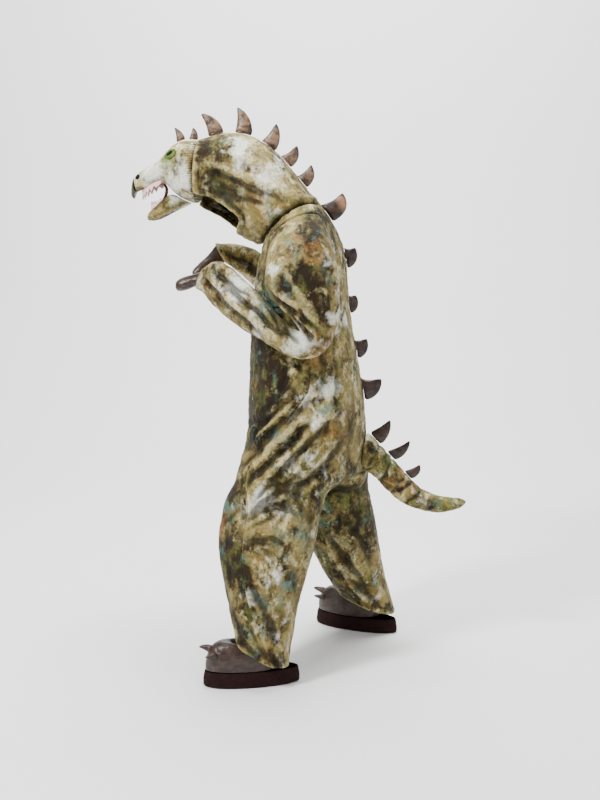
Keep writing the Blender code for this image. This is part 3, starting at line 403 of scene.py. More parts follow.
# A fold lies along points (y, z above the floor) in the side view; side is 1 on the left half, -1
# on the right and 0 on both. depth is inwards when negative.
FOLDS = [
    # part, side, half_width, depth, points
    ("sleeve", 1, 0.0099, -0.0186, [(-0.067, 1.220), (-0.021, 1.180), (0.052, 1.102)]),
    ("sleeve", 1, 0.0077, -0.0124, [(-0.049, 1.203), (0.023, 1.169), (0.075, 1.117)]),
    ("sleeve", 1, 0.0110, 0.0109, [(-0.055, 1.222), (0.010, 1.186), (0.070, 1.135)]),
    ("sleeve", 1, 0.0099, -0.0155, [(-0.204, 1.231), (-0.122, 1.174), (-0.029, 1.101)]),
    ("sleeve", 1, 0.0110, 0.0093, [(-0.230, 1.224), (-0.140, 1.160), (-0.045, 1.092)]),
    ("sleeve", 1, 0.0077, -0.0093, [(-0.268, 1.245), (-0.181, 1.167), (-0.088, 1.092)]),
    ("sleeve", 1, 0.0088, -0.0078, [(-0.279, 1.271), (-0.224, 1.202), (-0.152, 1.138)]),
    ("sleeve", 1, 0.0176, -0.0033, [(-0.006, 1.203), (0.023, 1.289), (0.012, 1.375)]),
    ("sleeve", 1, 0.0198, -0.0033, [(0.075, 1.117), (0.087, 1.232), (0.075, 1.346)]),
    ("sleeve", 1, 0.0132, 0.0078, [(-0.026, 1.312), (0.009, 1.232), (0.081, 1.146)]),
    ("sleeve", 1, 0.0077, -0.0093, [(-0.253, 1.283), (-0.186, 1.237), (-0.116, 1.203)]),
    ("sleeve", 1, 0.0110, -0.0038, [(0.023, 1.131), (0.058, 1.073), (0.023, 1.052)]),
    ("sleeve", 1, 0.0088, -0.0109, [(-0.087, 1.203), (-0.035, 1.130), (0.023, 1.073)]),
    ("sleeve", -1, 0.0099, -0.0170, [(-0.060, 1.270), (-0.010, 1.235), (0.050, 1.170)]),
    ("sleeve", -1, 0.0088, -0.0109, [(-0.050, 1.240), (0.020, 1.200), (0.080, 1.160)]),
    ("sleeve", -1, 0.0110, -0.0109, [(-0.190, 1.280), (-0.120, 1.225), (-0.030, 1.150)]),
    ("sleeve", -1, 0.0088, -0.0093, [(-0.240, 1.320), (-0.170, 1.290), (-0.090, 1.200)]),
    ("sleeve", -1, 0.0198, -0.0033, [(0.070, 1.150), (0.085, 1.240), (0.070, 1.350)]),
    ("body", 0, 0.0132, -0.0232, [(0.032, 0.884), (-0.063, 0.796), (-0.178, 0.668)]),
    ("body", 0, 0.0110, -0.0186, [(0.051, 0.828), (-0.048, 0.733), (-0.157, 0.621)]),
    ("body", 0, 0.0110, 0.0116, [(0.045, 0.856), (-0.055, 0.766), (-0.170, 0.645)]),
    ("body", 0, 0.0099, -0.0155, [(-0.017, 0.905), (-0.103, 0.811), (-0.172, 0.716)]),
    ("body", 0, 0.0099, 0.0093, [(0.010, 0.905), (-0.083, 0.808), (-0.178, 0.696)]),
    ("body", 0, 0.0121, -0.0155, [(0.106, 0.829), (0.014, 0.734), (-0.104, 0.606)]),
    ("body", 0, 0.0110, 0.0093, [(0.078, 0.832), (-0.017, 0.734), (-0.125, 0.618)]),
    ("body", 0, 0.0132, -0.0124, [(0.152, 0.767), (0.076, 0.672), (-0.033, 0.575)]),
    ("body", 0, 0.0088, -0.0065, [(-0.140, 0.888), (-0.149, 0.794), (-0.172, 0.700)]),
    ("body", 0, 0.0099, -0.0124, [(0.014, 0.671), (-0.079, 0.590), (-0.158, 0.541)]),
    ("body", 0, 0.0110, -0.0074, [(0.111, 1.104), (0.123, 0.952), (0.137, 0.798)]),
    ("body", 0, 0.0132, -0.0065, [(0.081, 1.074), (0.090, 0.983), (0.069, 0.890)]),
    ("body", 0, 0.0132, -0.0056, [(-0.102, 1.042), (-0.121, 0.935), (-0.103, 0.842)]),
    ("body", 0, 0.0154, -0.0074, [(0.166, 0.891), (0.173, 0.767), (0.153, 0.673)]),
    ("body", 0, 0.0132, -0.0093, [(-0.032, 1.012), (-0.017, 0.936), (0.014, 0.890)]),
    ("body", 0, 0.0099, -0.0109, [(-0.133, 0.531), (-0.056, 0.580), (0.020, 0.550)]),
    ("body", 1, 0.0099, -0.0109, [(-0.149, 0.468), (-0.072, 0.485), (0.004, 0.446)]),
    ("body", 1, 0.0154, -0.0093, [(-0.165, 0.404), (-0.098, 0.278), (-0.042, 0.151)]),
    ("body", 0, 0.0110, -0.0109, [(-0.096, 0.657), (-0.026, 0.627), (0.050, 0.643)]),
    ("body", 1, 0.0132, -0.0093, [(-0.212, 0.275), (-0.167, 0.180), (-0.099, 0.084)]),
    ("body", 1, 0.0154, -0.0065, [(-0.011, 0.408), (0.020, 0.281), (0.013, 0.152)]),
    ("body", 1, 0.0110, -0.0065, [(-0.178, 0.593), (-0.148, 0.531), (-0.164, 0.452)]),
    ("body", 1, 0.0121, -0.0065, [(0.020, 0.596), (0.056, 0.504), (0.044, 0.409)]),
    ("body", 1, 0.0110, -0.0093, [(-0.135, 0.245), (-0.098, 0.149), (-0.027, 0.060)]),
    ("body", 1, 0.0132, -0.0056, [(-0.200, 0.530), (-0.207, 0.435), (-0.190, 0.340)]),
    ("body", -1, 0.0132, -0.0124, [(0.020, 0.520), (0.110, 0.560), (0.200, 0.540)]),
    ("body", -1, 0.0154, -0.0109, [(0.060, 0.420), (0.150, 0.300), (0.230, 0.180)]),
    ("body", -1, 0.0132, -0.0109, [(0.130, 0.460), (0.200, 0.380), (0.240, 0.260)]),
    ("body", -1, 0.0110, -0.0109, [(0.110, 0.250), (0.190, 0.200), (0.270, 0.110)]),
    ("body", 1, 0.0060, -0.0070, [(-0.150, 0.560), (-0.100, 0.610), (-0.045, 0.640)]),
    ("body", 1, 0.0050, -0.0060, [(-0.158, 0.540), (-0.110, 0.585), (-0.062, 0.606)]),
    ("body", 1, 0.0060, 0.0050, [(-0.152, 0.550), (-0.104, 0.598), (-0.052, 0.624)]),
    ("body", 1, 0.0060, -0.0070, [(-0.160, 0.516), (-0.096, 0.566), (-0.030, 0.590)]),
    ("body", 1, 0.0050, -0.0060, [(-0.146, 0.500), (-0.088, 0.537), (-0.040, 0.566)]),
    ("body", 1, 0.0070, 0.0050, [(-0.150, 0.508), (-0.090, 0.552), (-0.030, 0.578)]),
    ("body", 1, 0.0060, -0.0060, [(-0.060, 0.520), (-0.012, 0.560), (0.024, 0.612)]),
    ("body", 1, 0.0060, -0.0070, [(-0.152, 0.452), (-0.100, 0.470), (-0.050, 0.452)]),
    ("body", 1, 0.0060, -0.0050, [(-0.140, 0.430), (-0.092, 0.446), (-0.046, 0.430)]),
    ("body", 1, 0.0080, -0.0036, [(-0.230, 0.560), (-0.212, 0.480), (-0.226, 0.400)]),
    ("body", 1, 0.0070, -0.0060, [(-0.240, 0.500), (-0.200, 0.520), (-0.172, 0.560)]),
    ("body", 1, 0.0090, -0.0090, [(-0.168, 0.110), (-0.120, 0.070), (-0.085, 0.035)]),
    ("body", 1, 0.0080, 0.0060, [(-0.176, 0.126), (-0.126, 0.086), (-0.080, 0.050)]),
    ("body", 1, 0.0080, -0.0070, [(-0.110, 0.150), (-0.070, 0.110), (-0.030, 0.060)]),
    ("body", 0, 0.0080, -0.0100, [(-0.176, 0.760), (-0.140, 0.812), (-0.100, 0.830)]),
    ("body", 0, 0.0070, 0.0060, [(-0.176, 0.744), (-0.132, 0.794), (-0.086, 0.812)]),
    ("body", 0, 0.0080, -0.0090, [(-0.186, 0.700), (-0.130, 0.748), (-0.080, 0.776)]),
    ("body", 0, 0.0090, 0.0090, [(-0.190, 0.680), (-0.140, 0.722), (-0.090, 0.752)]),
    ("body", 0, 0.0100, -0.0100, [(-0.030, 0.960), (-0.052, 0.900), (-0.120, 0.842)]),
    ("body", 0, 0.0120, 0.0067, [(-0.004, 0.986), (-0.020, 0.912), (-0.074, 0.852)]),
    ("body", 0, 0.0100, 0.0036, [(0.100, 1.120), (0.112, 0.980), (0.122, 0.850)]),
    ("body", 0, 0.0090, -0.0036, [(0.040, 1.000), (0.052, 0.930), (0.040, 0.850)]),
    ("body", 0, 0.0100, 0.0036, [(0.020, 0.980), (0.030, 0.900), (0.010, 0.820)]),
    ("body", -1, 0.0070, -0.0060, [(0.040, 0.620), (0.090, 0.640), (0.140, 0.620)]),
    ("body", -1, 0.0070, -0.0060, [(0.060, 0.580), (0.120, 0.600), (0.180, 0.580)]),
    ("body", -1, 0.0090, 0.0060, [(0.100, 0.400), (0.160, 0.330), (0.210, 0.240)]),
    ("sleeve", 1, 0.0070, 0.0080, [(-0.040, 1.196), (0.020, 1.154), (0.062, 1.106)]),
    ("sleeve", 1, 0.0060, -0.0100, [(-0.030, 1.186), (0.016, 1.140), (0.050, 1.090)]),
    ("sleeve", 1, 0.0060, -0.0080, [(-0.276, 1.258), (-0.236, 1.222), (-0.196, 1.190)]),
    ("sleeve", 1, 0.0060, 0.0060, [(-0.274, 1.266), (-0.230, 1.234), (-0.180, 1.204)]),
    ("sleeve", 1, 0.0060, -0.0070, [(-0.262, 1.290), (-0.226, 1.262), (-0.190, 1.250)]),
    ("sleeve", 1, 0.0080, 0.0021, [(-0.060, 1.330), (-0.050, 1.270), (-0.066, 1.216)]),
    ("sleeve", 1, 0.0090, -0.0024, [(-0.046, 1.330), (-0.034, 1.268), (-0.052, 1.212)]),
    ("sleeve", 1, 0.0120, 0.0024, [(0.062, 1.340), (0.078, 1.240), (0.070, 1.130)]),
    ("sleeve", 1, 0.0100, -0.0021, [(0.100, 1.330), (0.112, 1.230), (0.100, 1.120)]),
    ("hood", 0, 0.0132, 0.0109, [(-0.278, 1.611), (-0.142, 1.551), (-0.021, 1.506)]),
    ("hood", 0, 0.0110, -0.0109, [(-0.278, 1.592), (-0.150, 1.530), (-0.030, 1.490)]),
    ("hood", 0, 0.0110, -0.0093, [(-0.264, 1.537), (-0.209, 1.492), (-0.158, 1.438)]),
    ("hood", 0, 0.0110, -0.0093, [(-0.278, 1.575), (-0.188, 1.507), (-0.096, 1.477)]),
    ("hood", 0, 0.0132, 0.0078, [(-0.217, 1.640), (-0.111, 1.595), (0.010, 1.497)]),
    ("hood", 0, 0.0099, -0.0093, [(-0.294, 1.522), (-0.258, 1.477), (-0.188, 1.426)]),
]


def fold_shift(points, normals, part, folds):
    """How far each point moves along its outward direction for the folds of that part."""
    floor = points + HOLD_POINT
    for axis, seed in ((1, 11), (2, 12)):
        floor[:, axis] += sum(stray * speckle(points, size, seed) for size, stray in FOLD_WANDER)
    uneven = 1.0 + FOLD_UNEVENNESS * speckle(points, FOLD_UNEVEN_SIZE, 13)
    shift = np.zeros(len(points))
    sideways = np.clip(np.abs(normals[:, 0]) * FOLD_SIDE_GAIN, 0.0, 1.0)
    for of_part, side, half_width, depth, path in folds:
        if of_part != part:
            continue
        nearest = np.full(len(points), 1.0)
        taper = np.zeros(len(points))
        steps = len(path) - 1
        for step in range(steps):
            start, end = np.array(path[step]), np.array(path[step + 1])
            run = end - start
            share = np.clip((floor[:, 1:] - start) @ run / (run @ run), 0.0, 1.0)
            away = np.linalg.norm(floor[:, 1:] - start - share[:, None] * run, axis=1)
            closer = away < nearest
            nearest = np.where(closer, away, nearest)
            along = (step + share) / steps
            inner = FOLD_END_SHARE + (1 - 2 * FOLD_END_SHARE) * along
            taper = np.where(closer, np.sin(np.pi * inner) ** FOLD_TAPER_POWER, taper)
        press = depth * taper * beside(nearest, half_width)
        if side:
            press = press * (side * floor[:, 0] > 0)
        shift += press
    return shift * sideways * uneven


suit_points, suit_faces, suit_marks = [], [], []
for mark, name in enumerate(PANELS):
    points, faces = outer_skin(name, CLOTH)
    start = len(suit_points)
    suit_points += points
    suit_faces += [[corner + start for corner in face] for face in faces]
    suit_marks += [mark] * len(faces)
welded = bmesh.new()
panel_layer = welded.faces.layers.int.new("panel")
verts = [welded.verts.new(point) for point in suit_points]
for face, mark in zip(suit_faces, suit_marks):
    welded.faces.new([verts[corner] for corner in face])[panel_layer] = mark
bmesh.ops.remove_doubles(welded, verts=welded.verts, dist=SEAM_WELD)
suit_marks = [face[panel_layer] for face in welded.faces]
suit_points, suit_faces = lists_of(welded)
suit_points, suit_quads, suit_marks = refined(
    suit_points, suit_faces, SUIT_LEVEL, suit_marks
)

around_edge = {}
for index, quad in enumerate(suit_quads.tolist()):
    for one, other in zip(quad, quad[1:] + quad[:1]):
        around_edge.setdefault((min(one, other), max(one, other)), []).append(index)
crest_mark = PANELS.index("crest_band")
hood_marks = {PANELS.index("hood_left"), PANELS.index("hood_right")}
seam_lines, neck_lines, hem_lines = [], [], []
for line, around in around_edge.items():
    marks = {int(suit_marks[quad]) for quad in around}
    if len(around) == 1:
        hem_lines.append(line)
    if len(marks) == 2:
        seam_lines.append(line)
        if marks & hood_marks and not marks <= hood_marks | {crest_mark}:
            neck_lines.append(line)


def tree_of(points):
    """A search tree that finds the nearest of those points."""
    tree = kdtree.KDTree(len(points))
    for index, point in enumerate(points):
        tree.insert(Vector(point), index)
    tree.balance()
    return tree


def nearest_on(lines):
    """For each point of the suit, the nearest of those lines' middles and how far away it is."""
    tree = tree_of([(suit_points[one] + suit_points[other]) / 2 for one, other in lines])
    found = [tree.find(Vector(point)) for point in suit_points]
    return np.array([tuple(place) for place, _, _ in found]), np.array([away for *_, away in found])


seam_place, seam_away = nearest_on(seam_lines)
neck_away = nearest_on(neck_lines)[1]
hem_away = nearest_on(hem_lines)[1]

suit_normals = normals_of(suit_points, suit_quads)
suit_part = np.full(len(suit_points), "body", dtype=object)
for mark, name in enumerate(PANELS):
    if name.startswith(("sleeve", "hood")):
        suit_part[np.unique(suit_quads[suit_marks == mark])] = name.split("_")[0]
crest = np.unique(suit_quads[suit_marks == PANELS.index("crest_band")])
suit_shift = np.zeros(len(suit_points))
for part in ("body", "sleeve", "hood"):
    chosen = suit_part == part
    suit_shift[chosen] = fold_shift(suit_points, suit_normals, part, FOLDS)[chosen]
suit_shift[crest] *= CREST_FOLD_SHARE
suit_shift *= 1 - SEAM_CALM * beside(seam_away, SEAM_CALM_REACH)
for size, seed, height in CRUMPLES:
    suit_shift += height * speckle(suit_points, size, seed)
# Painted light: fold ridges are painted lighter and fold valleys darker, by how far each point
# moved.
suit_ridge = np.clip(suit_shift / RIDGE_HEIGHT, -1.0, 1.0)
neck_roll = np.where(suit_part == "hood", NECK_ROLL, 0.5 * NECK_ROLL)
puckers = PUCKER * speckle(seam_place, PUCKER_SIZE, 3)
hem_line = beside(hem_away - HEM_DEPTH, HEM_SINK_REACH)
suit_shift -= SEAM_SINK * beside(seam_away, SEAM_SINK_REACH)
suit_shift += SEAM_ROLL * beside(seam_away - SEAM_ROLL_AWAY, SEAM_ROLL_REACH)
suit_shift += puckers * beside(seam_away, PUCKER_REACH)
suit_shift -= NECK_SINK * beside(neck_away, NECK_SINK_REACH)
suit_shift += neck_roll * beside(neck_away - NECK_ROLL_AWAY, NECK_ROLL_REACH)
suit_shift += HEM_ROLL * beside(hem_away, HEM_ROLL_REACH) - HEM_SINK * hem_line
# The painted light share is painted highlight on fold ridges and hem edges and painted shade in
# fold valleys, along seams, in the neck groove and on the hem's fold line.
suit_ridge -= NECK_SHADE * beside(neck_away, NECK_SHADE_REACH)
suit_ridge -= SEAM_SHADE * beside(seam_away, SEAM_SHADE_REACH)
suit_ridge = np.clip(suit_ridge, -1.0, 1.0)
suit_ridge += HEM_LIGHT * beside(hem_away, HEM_LIGHT_REACH) - HEM_SHADE * hem_line
suit_ridge = np.clip(suit_ridge, -1.0, 1.0)
suit_points = suit_points + suit_normals * suit_shift[:, None]

# Plush: short crushed pile, dyed in soft blotches of olive, brown, rust, tan, cream and teal, with
# painted highlights on fold ridges and hems, painted shade in fold valleys, seams and the neck
# groove, and patches of painted shade from the crushed pile.
# The table places the larger pale, rusty, dark and blue-green areas; its dark areas on the front of
# the body are painted shade.
# They lie a little lower and further back on the right side, so the sides differ.
RIGHT_SIDE_SHIFT = 0.035
RIGHT_SIDE_BLEND = 0.08
DYE_AND_SHADE_AREAS = [
    # colour, y, z above the floor, radius, strength
    ("pale", -0.180, 1.640, 0.040, 0.9),
    ("pale", -0.090, 1.560, 0.045, 0.8),
    ("pale", -0.060, 1.610, 0.030, 0.4),
    ("dark", -0.290, 1.600, 0.070, 0.7),
    ("dark", -0.250, 1.660, 0.050, 0.4),
    ("rust", 0.055, 1.345, 0.042, 0.9),
    ("dark", 0.060, 1.420, 0.045, 0.8),
    ("rust", -0.120, 1.470, 0.040, 0.5),
    ("dark", 0.030, 1.245, 0.058, 0.95),
    ("dark", 0.060, 1.170, 0.036, 0.7),
    ("pale", -0.052, 1.290, 0.020, 0.7),
    ("rust", 0.090, 1.220, 0.030, 0.6),
    ("teal", -0.080, 1.180, 0.040, 0.8),
    ("pale", 0.010, 1.080, 0.040, 0.8),
    ("pale", -0.170, 1.230, 0.050, 0.7),
    ("pale", -0.110, 1.120, 0.035, 0.5),
    # Painted shade on the front of the body, which faces away from the light:
    ("dark", -0.130, 1.000, 0.080, 0.9),
    ("dark", -0.165, 0.900, 0.050, 0.9),
    ("dark", -0.140, 0.850, 0.080, 0.5),
    ("rust", -0.130, 0.930, 0.050, 0.6),
    ("rust", 0.080, 1.050, 0.060, 0.6),
    ("pale", 0.120, 1.150, 0.030, 0.5),
    ("pale", 0.105, 0.930, 0.030, 0.8),
    ("pale", 0.060, 0.820, 0.028, 0.7),
    ("pale", -0.020, 0.700, 0.030, 0.6),
    ("pale", -0.095, 0.590, 0.034, 0.8),
    ("pale", -0.140, 0.560, 0.035, 0.7),
    ("pale", 0.060, 0.700, 0.050, 0.4),
    ("rust", 0.120, 0.800, 0.060, 0.5),
    ("teal", -0.060, 0.780, 0.040, 0.5),
    ("teal", 0.020, 0.480, 0.050, 0.5),
    ("rust", -0.060, 0.380, 0.070, 0.5),
    ("dark", -0.190, 0.380, 0.060, 0.8),
    ("dark", -0.205, 0.600, 0.040, 0.7),
    ("pale", -0.010, 0.560, 0.030, 0.5),
    ("pale", -0.110, 0.200, 0.050, 0.4),
    ("dark", 0.180, 0.500, 0.120, 0.7),
    ("teal", -0.110, 0.300, 0.032, 0.9),
    ("teal", -0.020, 0.340, 0.026, 0.7),
    ("teal", -0.230, 0.560, 0.030, 0.8),
    ("teal", 0.100, 0.860, 0.026, 0.8),
    ("pale", -0.060, 0.360, 0.030, 0.5),
    ("pale", 0.030, 0.900, 0.026, 0.6),
    ("rust", -0.240, 0.480, 0.050, 0.6),
]


def area_shares(points, areas):
    """Each point's share of every colour area in the table."""
    floor = points + HOLD_POINT
    found = {}
    for dye, y, z, radius, strength in areas:
        shift = RIGHT_SIDE_SHIFT * np.clip(0.5 - floor[:, 0] / RIGHT_SIDE_BLEND, 0.0, 1.0)
        away = np.hypot(floor[:, 1] - y - shift, floor[:, 2] - z + shift)
        share = strength * beside(away, radius)
        found[dye] = np.maximum(found.get(dye, 0.0), share)
    return found


SHARES = ("pale", "rust", "dark", "teal", "green", "ridge")
CRUSH_SHADE = (0.62, 0.58, 0.50)


def plush(name, pale=0.0, dark=0.0):
    """Crushed, blotch-dyed plush. pale and dark move the whole piece lighter or darker."""
    cloth = Finish(name, roughness=0.80, Sheen_Weight=0.05, Specular_IOR_Level=0.15)
    cloth.shader.inputs["Sheen Tint"].default_value = (0.95, 0.9, 0.75, 1.0)
    given = {share: cloth.stored(share) for share in SHARES}
    small = cloth.noise(0.026, detail=3.0, distortion=0.4, shift=7.7)
    fine = cloth.noise(0.009, detail=3.0, rough=0.6, shift=1.7)
    crush = cloth.noise(0.0045, detail=3.0, rough=0.6, shift=5.0)
    grain = small * 0.20 + fine * 0.09 + crush * 0.03

    def dye(size, shift, share, low, high, stretch=(1.0, 1.0, 0.75)):
        """A soft blotch: a wide noise, roughened by the finer ones and moved by its share."""
        wide = cloth.noise(size, 3.0, 0.6, distortion=0.5, shift=shift, stretch=stretch)
        return cloth.between(wide * 0.68 + grain + share, low, high)

    deep = dye(0.060, 0.0, given["dark"] * -0.20 - dark, 0.36, 0.60)
    colour = cloth.mix(deep, dyed(38, 27, 11), dyed(150, 134, 82))
    olive = dye(0.048, 21.9, given["green"] * 0.30, 0.48, 0.66)
    colour = cloth.mix(olive * 0.70, colour, dyed(100, 106, 50))
    rust_share = given["rust"] * 0.22 - given["dark"] * 0.15 - dark * 0.3
    rust = dye(0.046, 12.3, rust_share, 0.52, 0.70)
    colour = cloth.mix(rust * 0.62, colour, dyed(138, 92, 44))
    tan_share = given["pale"] * 0.14 - given["dark"] * 0.12 + pale - dark * 0.5
    tan = dye(0.042, 3.1, tan_share, 0.50, 0.68)
    colour = cloth.mix(tan * 0.85, colour, dyed(216, 204, 152))
    teal = dye(0.040, 44.2, given["teal"] * 0.26, 0.53, 0.70)
    colour = cloth.mix(teal * 0.66, colour, dyed(84, 126, 118))
    light_share = given["pale"] * 0.30 - given["dark"] * 0.14 + pale - dark
    light = dye(0.038, 31.4, light_share, 0.53, 0.75)
    colour = cloth.mix(light * 0.90, colour, dyed(240, 244, 236))
    green = cloth.between(given["green"] + grain * 0.5, 0.40, 1.0)
    colour = cloth.mix(green * 0.8, colour, dyed(104, 128, 40))
    # Painted highlight in cream on fold ridges and hem edges.
    high = cloth.between(given["ridge"] + fine * 0.8 + small * 0.8, 0.85, 1.75)
    colour = cloth.mix(high * 0.40, colour, dyed(232, 214, 150))
    # Painted shade, near black, in fold valleys, seams, the neck groove and creases.
    low = cloth.between(given["ridge"] - fine * 0.4, -0.15, -1.05)
    colour = cloth.mix(low * 0.80, colour, dyed(22, 17, 8))
    nap = cloth.noise(0.0016, detail=2.0, rough=0.6)
    shade = cloth.between(crush * 0.45 + fine * 0.55, 0.32, 0.66)
    shade = cloth.mix(shade, CRUSH_SHADE, (1.0, 1.0, 1.0))
    shaded = cloth.mix(1.0, colour, shade, "MULTIPLY")
    under = cloth.bump(small * 0.5 + fine * 0.5, 0.010, 0.5)
    under = cloth.bump(crush, 0.003, 0.5, under)
    return cloth.feed(Base_Color=shaded, Normal=cloth.bump(nap, 0.0012, 0.5, under))


def bake(piece):
    """Takes a piece's modifiers into its mesh."""
    graph = bpy.context.evaluated_depsgraph_get()
    piece.data = bpy.data.meshes.new_from_object(piece.evaluated_get(graph))
    piece.modifiers.clear()


def piece_from(name, points, quads, material, wall=0.0, areas=DYE_AND_SHADE_AREAS, **shares):
    """A finished piece from arrays, with its area shares, its painted light share and, for cloth,
    its thickness.
    """
    used, corners = np.unique(quads, return_inverse=True)
    mesh = bpy.data.meshes.new(name)
    mesh.from_pydata(points[used].tolist(), [], corners.reshape(quads.shape).tolist())
    weights = area_shares(points[used], areas)
    weights.update({share: values[used] for share, values in shares.items()})
    for dye in SHARES:
        layer = mesh.attributes.new(f"dye_{dye}", "FLOAT", "POINT")
        layer.data.foreach_set("value", np.broadcast_to(weights.get(dye, 0.0), len(used)).copy())
    mesh.materials.append(material)
    mesh.shade_smooth()
    piece = new_object(name, mesh)
    if wall:
        thick = piece.modifiers.new("wall", "SOLIDIFY")
        thick.thickness = wall
        thick.offset = -1.0
        bake(piece)
    return piece


PANEL_CUT = {
    # panel: (width, length, share of that rectangle)
    "front": (0.52, 1.40, 0.55),
    "back": (0.56, 1.45, 0.64),
    "sleeve": (0.60, 0.72, 0.79),
    "hood": (0.42, 0.46, 0.67),
    "crest": (0.05, 1.40, 0.90),
}
plush_body = plush("plush_body")
# Painted shade: the fronts face away from the light, so their plush is made darker.
plush_front = plush("plush_front", dark=0.06)
plush_hood = plush("plush_hood")
for mark, name in enumerate(PANELS):
    kind = name.split("_")[0]
    finish = {"front": plush_front, "hood": plush_hood}.get(kind, plush_body)
    quads = suit_quads[suit_marks == mark]
    panel = piece_from(f"plush_{name}", suit_points, quads, finish, CLOTH, ridge=suit_ridge)
    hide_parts(name)
    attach(panel, "root")
    width, length, share = PANEL_CUT[kind]


# Head and lower jaw: the same plush over stuffing, paler, gathered into the seam where the hood
# is sewn on. The tail is stuffed in the same way, creased across its middle. Their wrinkle and
# gather crests carry painted highlight, their hollows and the tail's creases painted shade.
def stuffed(name, level, wrinkle=0.0, wrinkle_size=0.02, kind="CATMULL_CLARK"):
    """A stuffed piece: the CAD solid's skin, smoothed and lightly wrinkled, and its ridges."""
    cut = cad_mesh(name)
    bmesh.ops.join_triangles(
        cut, faces=cut.faces, angle_face_threshold=0.8, angle_shape_threshold=1.2
    )
    points, quads, _ = refined(*lists_of(cut), level, kind=kind)
    shift = speckle(points, wrinkle_size, 5) + 0.5 * speckle(points, wrinkle_size / 2.5, 6)
    points = points + normals_of(points, quads) * (shift * wrinkle)[:, None]
    return points, quads, shift


plush_head = plush("plush_head", pale=0.05)
plush_tail = plush("plush_tail", pale=-0.01)
HEAD_AREAS = [
    # dye, y, z above the floor, radius, strength
    ("pale", -0.362, 1.545, 0.036, 0.75),
    ("pale", -0.470, 1.575, 0.036, 0.75),
    ("pale", -0.440, 1.590, 0.030, 0.45),
    ("green", -0.405, 1.622, 0.028, 1.0),
    ("green", -0.425, 1.596, 0.018, 0.7),
    ("rust", -0.388, 1.566, 0.020, 0.8),
    ("rust", -0.352, 1.615, 0.024, 0.6),
    ("dark", -0.375, 1.572, 0.014, 0.6),
    ("teal", -0.352, 1.520, 0.026, 0.5),
    ("pale", -0.385, 1.500, 0.018, 0.8),
    ("dark", -0.430, 1.480, 0.030, 0.4),
]
TAIL_AREAS = [
    ("green", 0.300, 0.690, 0.060, 0.45),
    ("pale", 0.205, 0.760, 0.032, 0.8),
    ("rust", 0.330, 0.610, 0.040, 0.6),
    ("green", 0.480, 0.560, 0.060, 0.5),
    ("dark", 0.575, 0.560, 0.030, 1.0),
]
HEAD_GATHER = 0.0016
HEAD_GATHER_REACH = 0.030
HEAD_GATHER_SPACING = 0.0075
HEAD_TUCK = 0.010
HEAD_TUCK_REACH = 0.014
TAIL_CREASES = [
    # y, z above the floor, half_width, depth, lean
    (0.262, 0.716, 0.006, 0.0045, 0.6),
    (0.286, 0.690, 0.005, 0.0040, 0.9),
    (0.300, 0.668, 0.005, 0.0050, 0.5),
    (0.322, 0.650, 0.006, 0.0035, 1.0),
    (0.345, 0.622, 0.005, 0.0040, 0.7),
    (0.372, 0.600, 0.005, 0.0025, 1.1),
    (0.405, 0.578, 0.006, 0.0020, 0.9),
]
for name, level, wrinkle, finish, areas in (
    ("head", 4, 0.0014, plush_head, HEAD_AREAS),
    ("lower_jaw", 3, 0.0012, plush_body, HEAD_AREAS),
    ("tail", 4, 0.0016, plush_tail, TAIL_AREAS),
):
    points, quads, shift = stuffed(name, level, wrinkle)
    # Painted light: wrinkle crests lighter and hollows darker.
    ridge = 0.4 * shift
    normals = normals_of(points, quads)
    floor_points = points + HOLD_POINT
    if name == "head":
        back = floor_points[:, 1] - floor_points[:, 1].max()
        rows = floor_points[:, 2] / HEAD_GATHER_SPACING + 0.35 * speckle(points, 0.02, 21)
        gather = np.sin(rows * 2 * math.pi) * np.exp(back / HEAD_GATHER_REACH)
        gather *= 0.6 + 0.6 * speckle(points, 0.03, 22)
        points = points + normals * (HEAD_GATHER * gather)[:, None]
        points[:, 1] += HEAD_TUCK * np.exp(back / HEAD_TUCK_REACH)
        # Painted highlight on the gathers' crests and painted shade in their hollows.
        ridge += 0.9 * gather
    if name == "tail":
        for y, z, half_width, depth, lean in TAIL_CREASES:
            across = (floor_points[:, 1] - y) * math.cos(lean)
            across -= (floor_points[:, 2] - z) * math.sin(lean)
            across += 0.004 * speckle(points, 0.02, 23)
            trough = beside(across, half_width)
            trough *= np.clip(0.6 + speckle(points, 0.035, 24 + int(100 * y)), 0.0, 1.0)
            points = points - normals * (depth * trough)[:, None]
            # Painted shade in the tail's creases.
            ridge -= 1.1 * trough
    piece = piece_from(f"plush_{name}", points, quads, finish, areas=areas, ridge=ridge)
    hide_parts(name)
    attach(piece, "root")
    "plush_pale" if name == "head" else "plush"


# Spikes, claws, mitts and foot covers: shiny brown satin, turned and stuffed. A spike has a dark
# edge where its two faces meet and a dark line of sewing over a lighter strip at its base. The back
# spikes that lie in shadow take a darker copy of the spike satin as painted shade, and spike_06 has
# painted shade on its lower part.
DARK_EDGE = dyed(26, 14, 13)
EDGE_HALF_WIDTH = 0.0024
EDGE_REACH = 0.0052


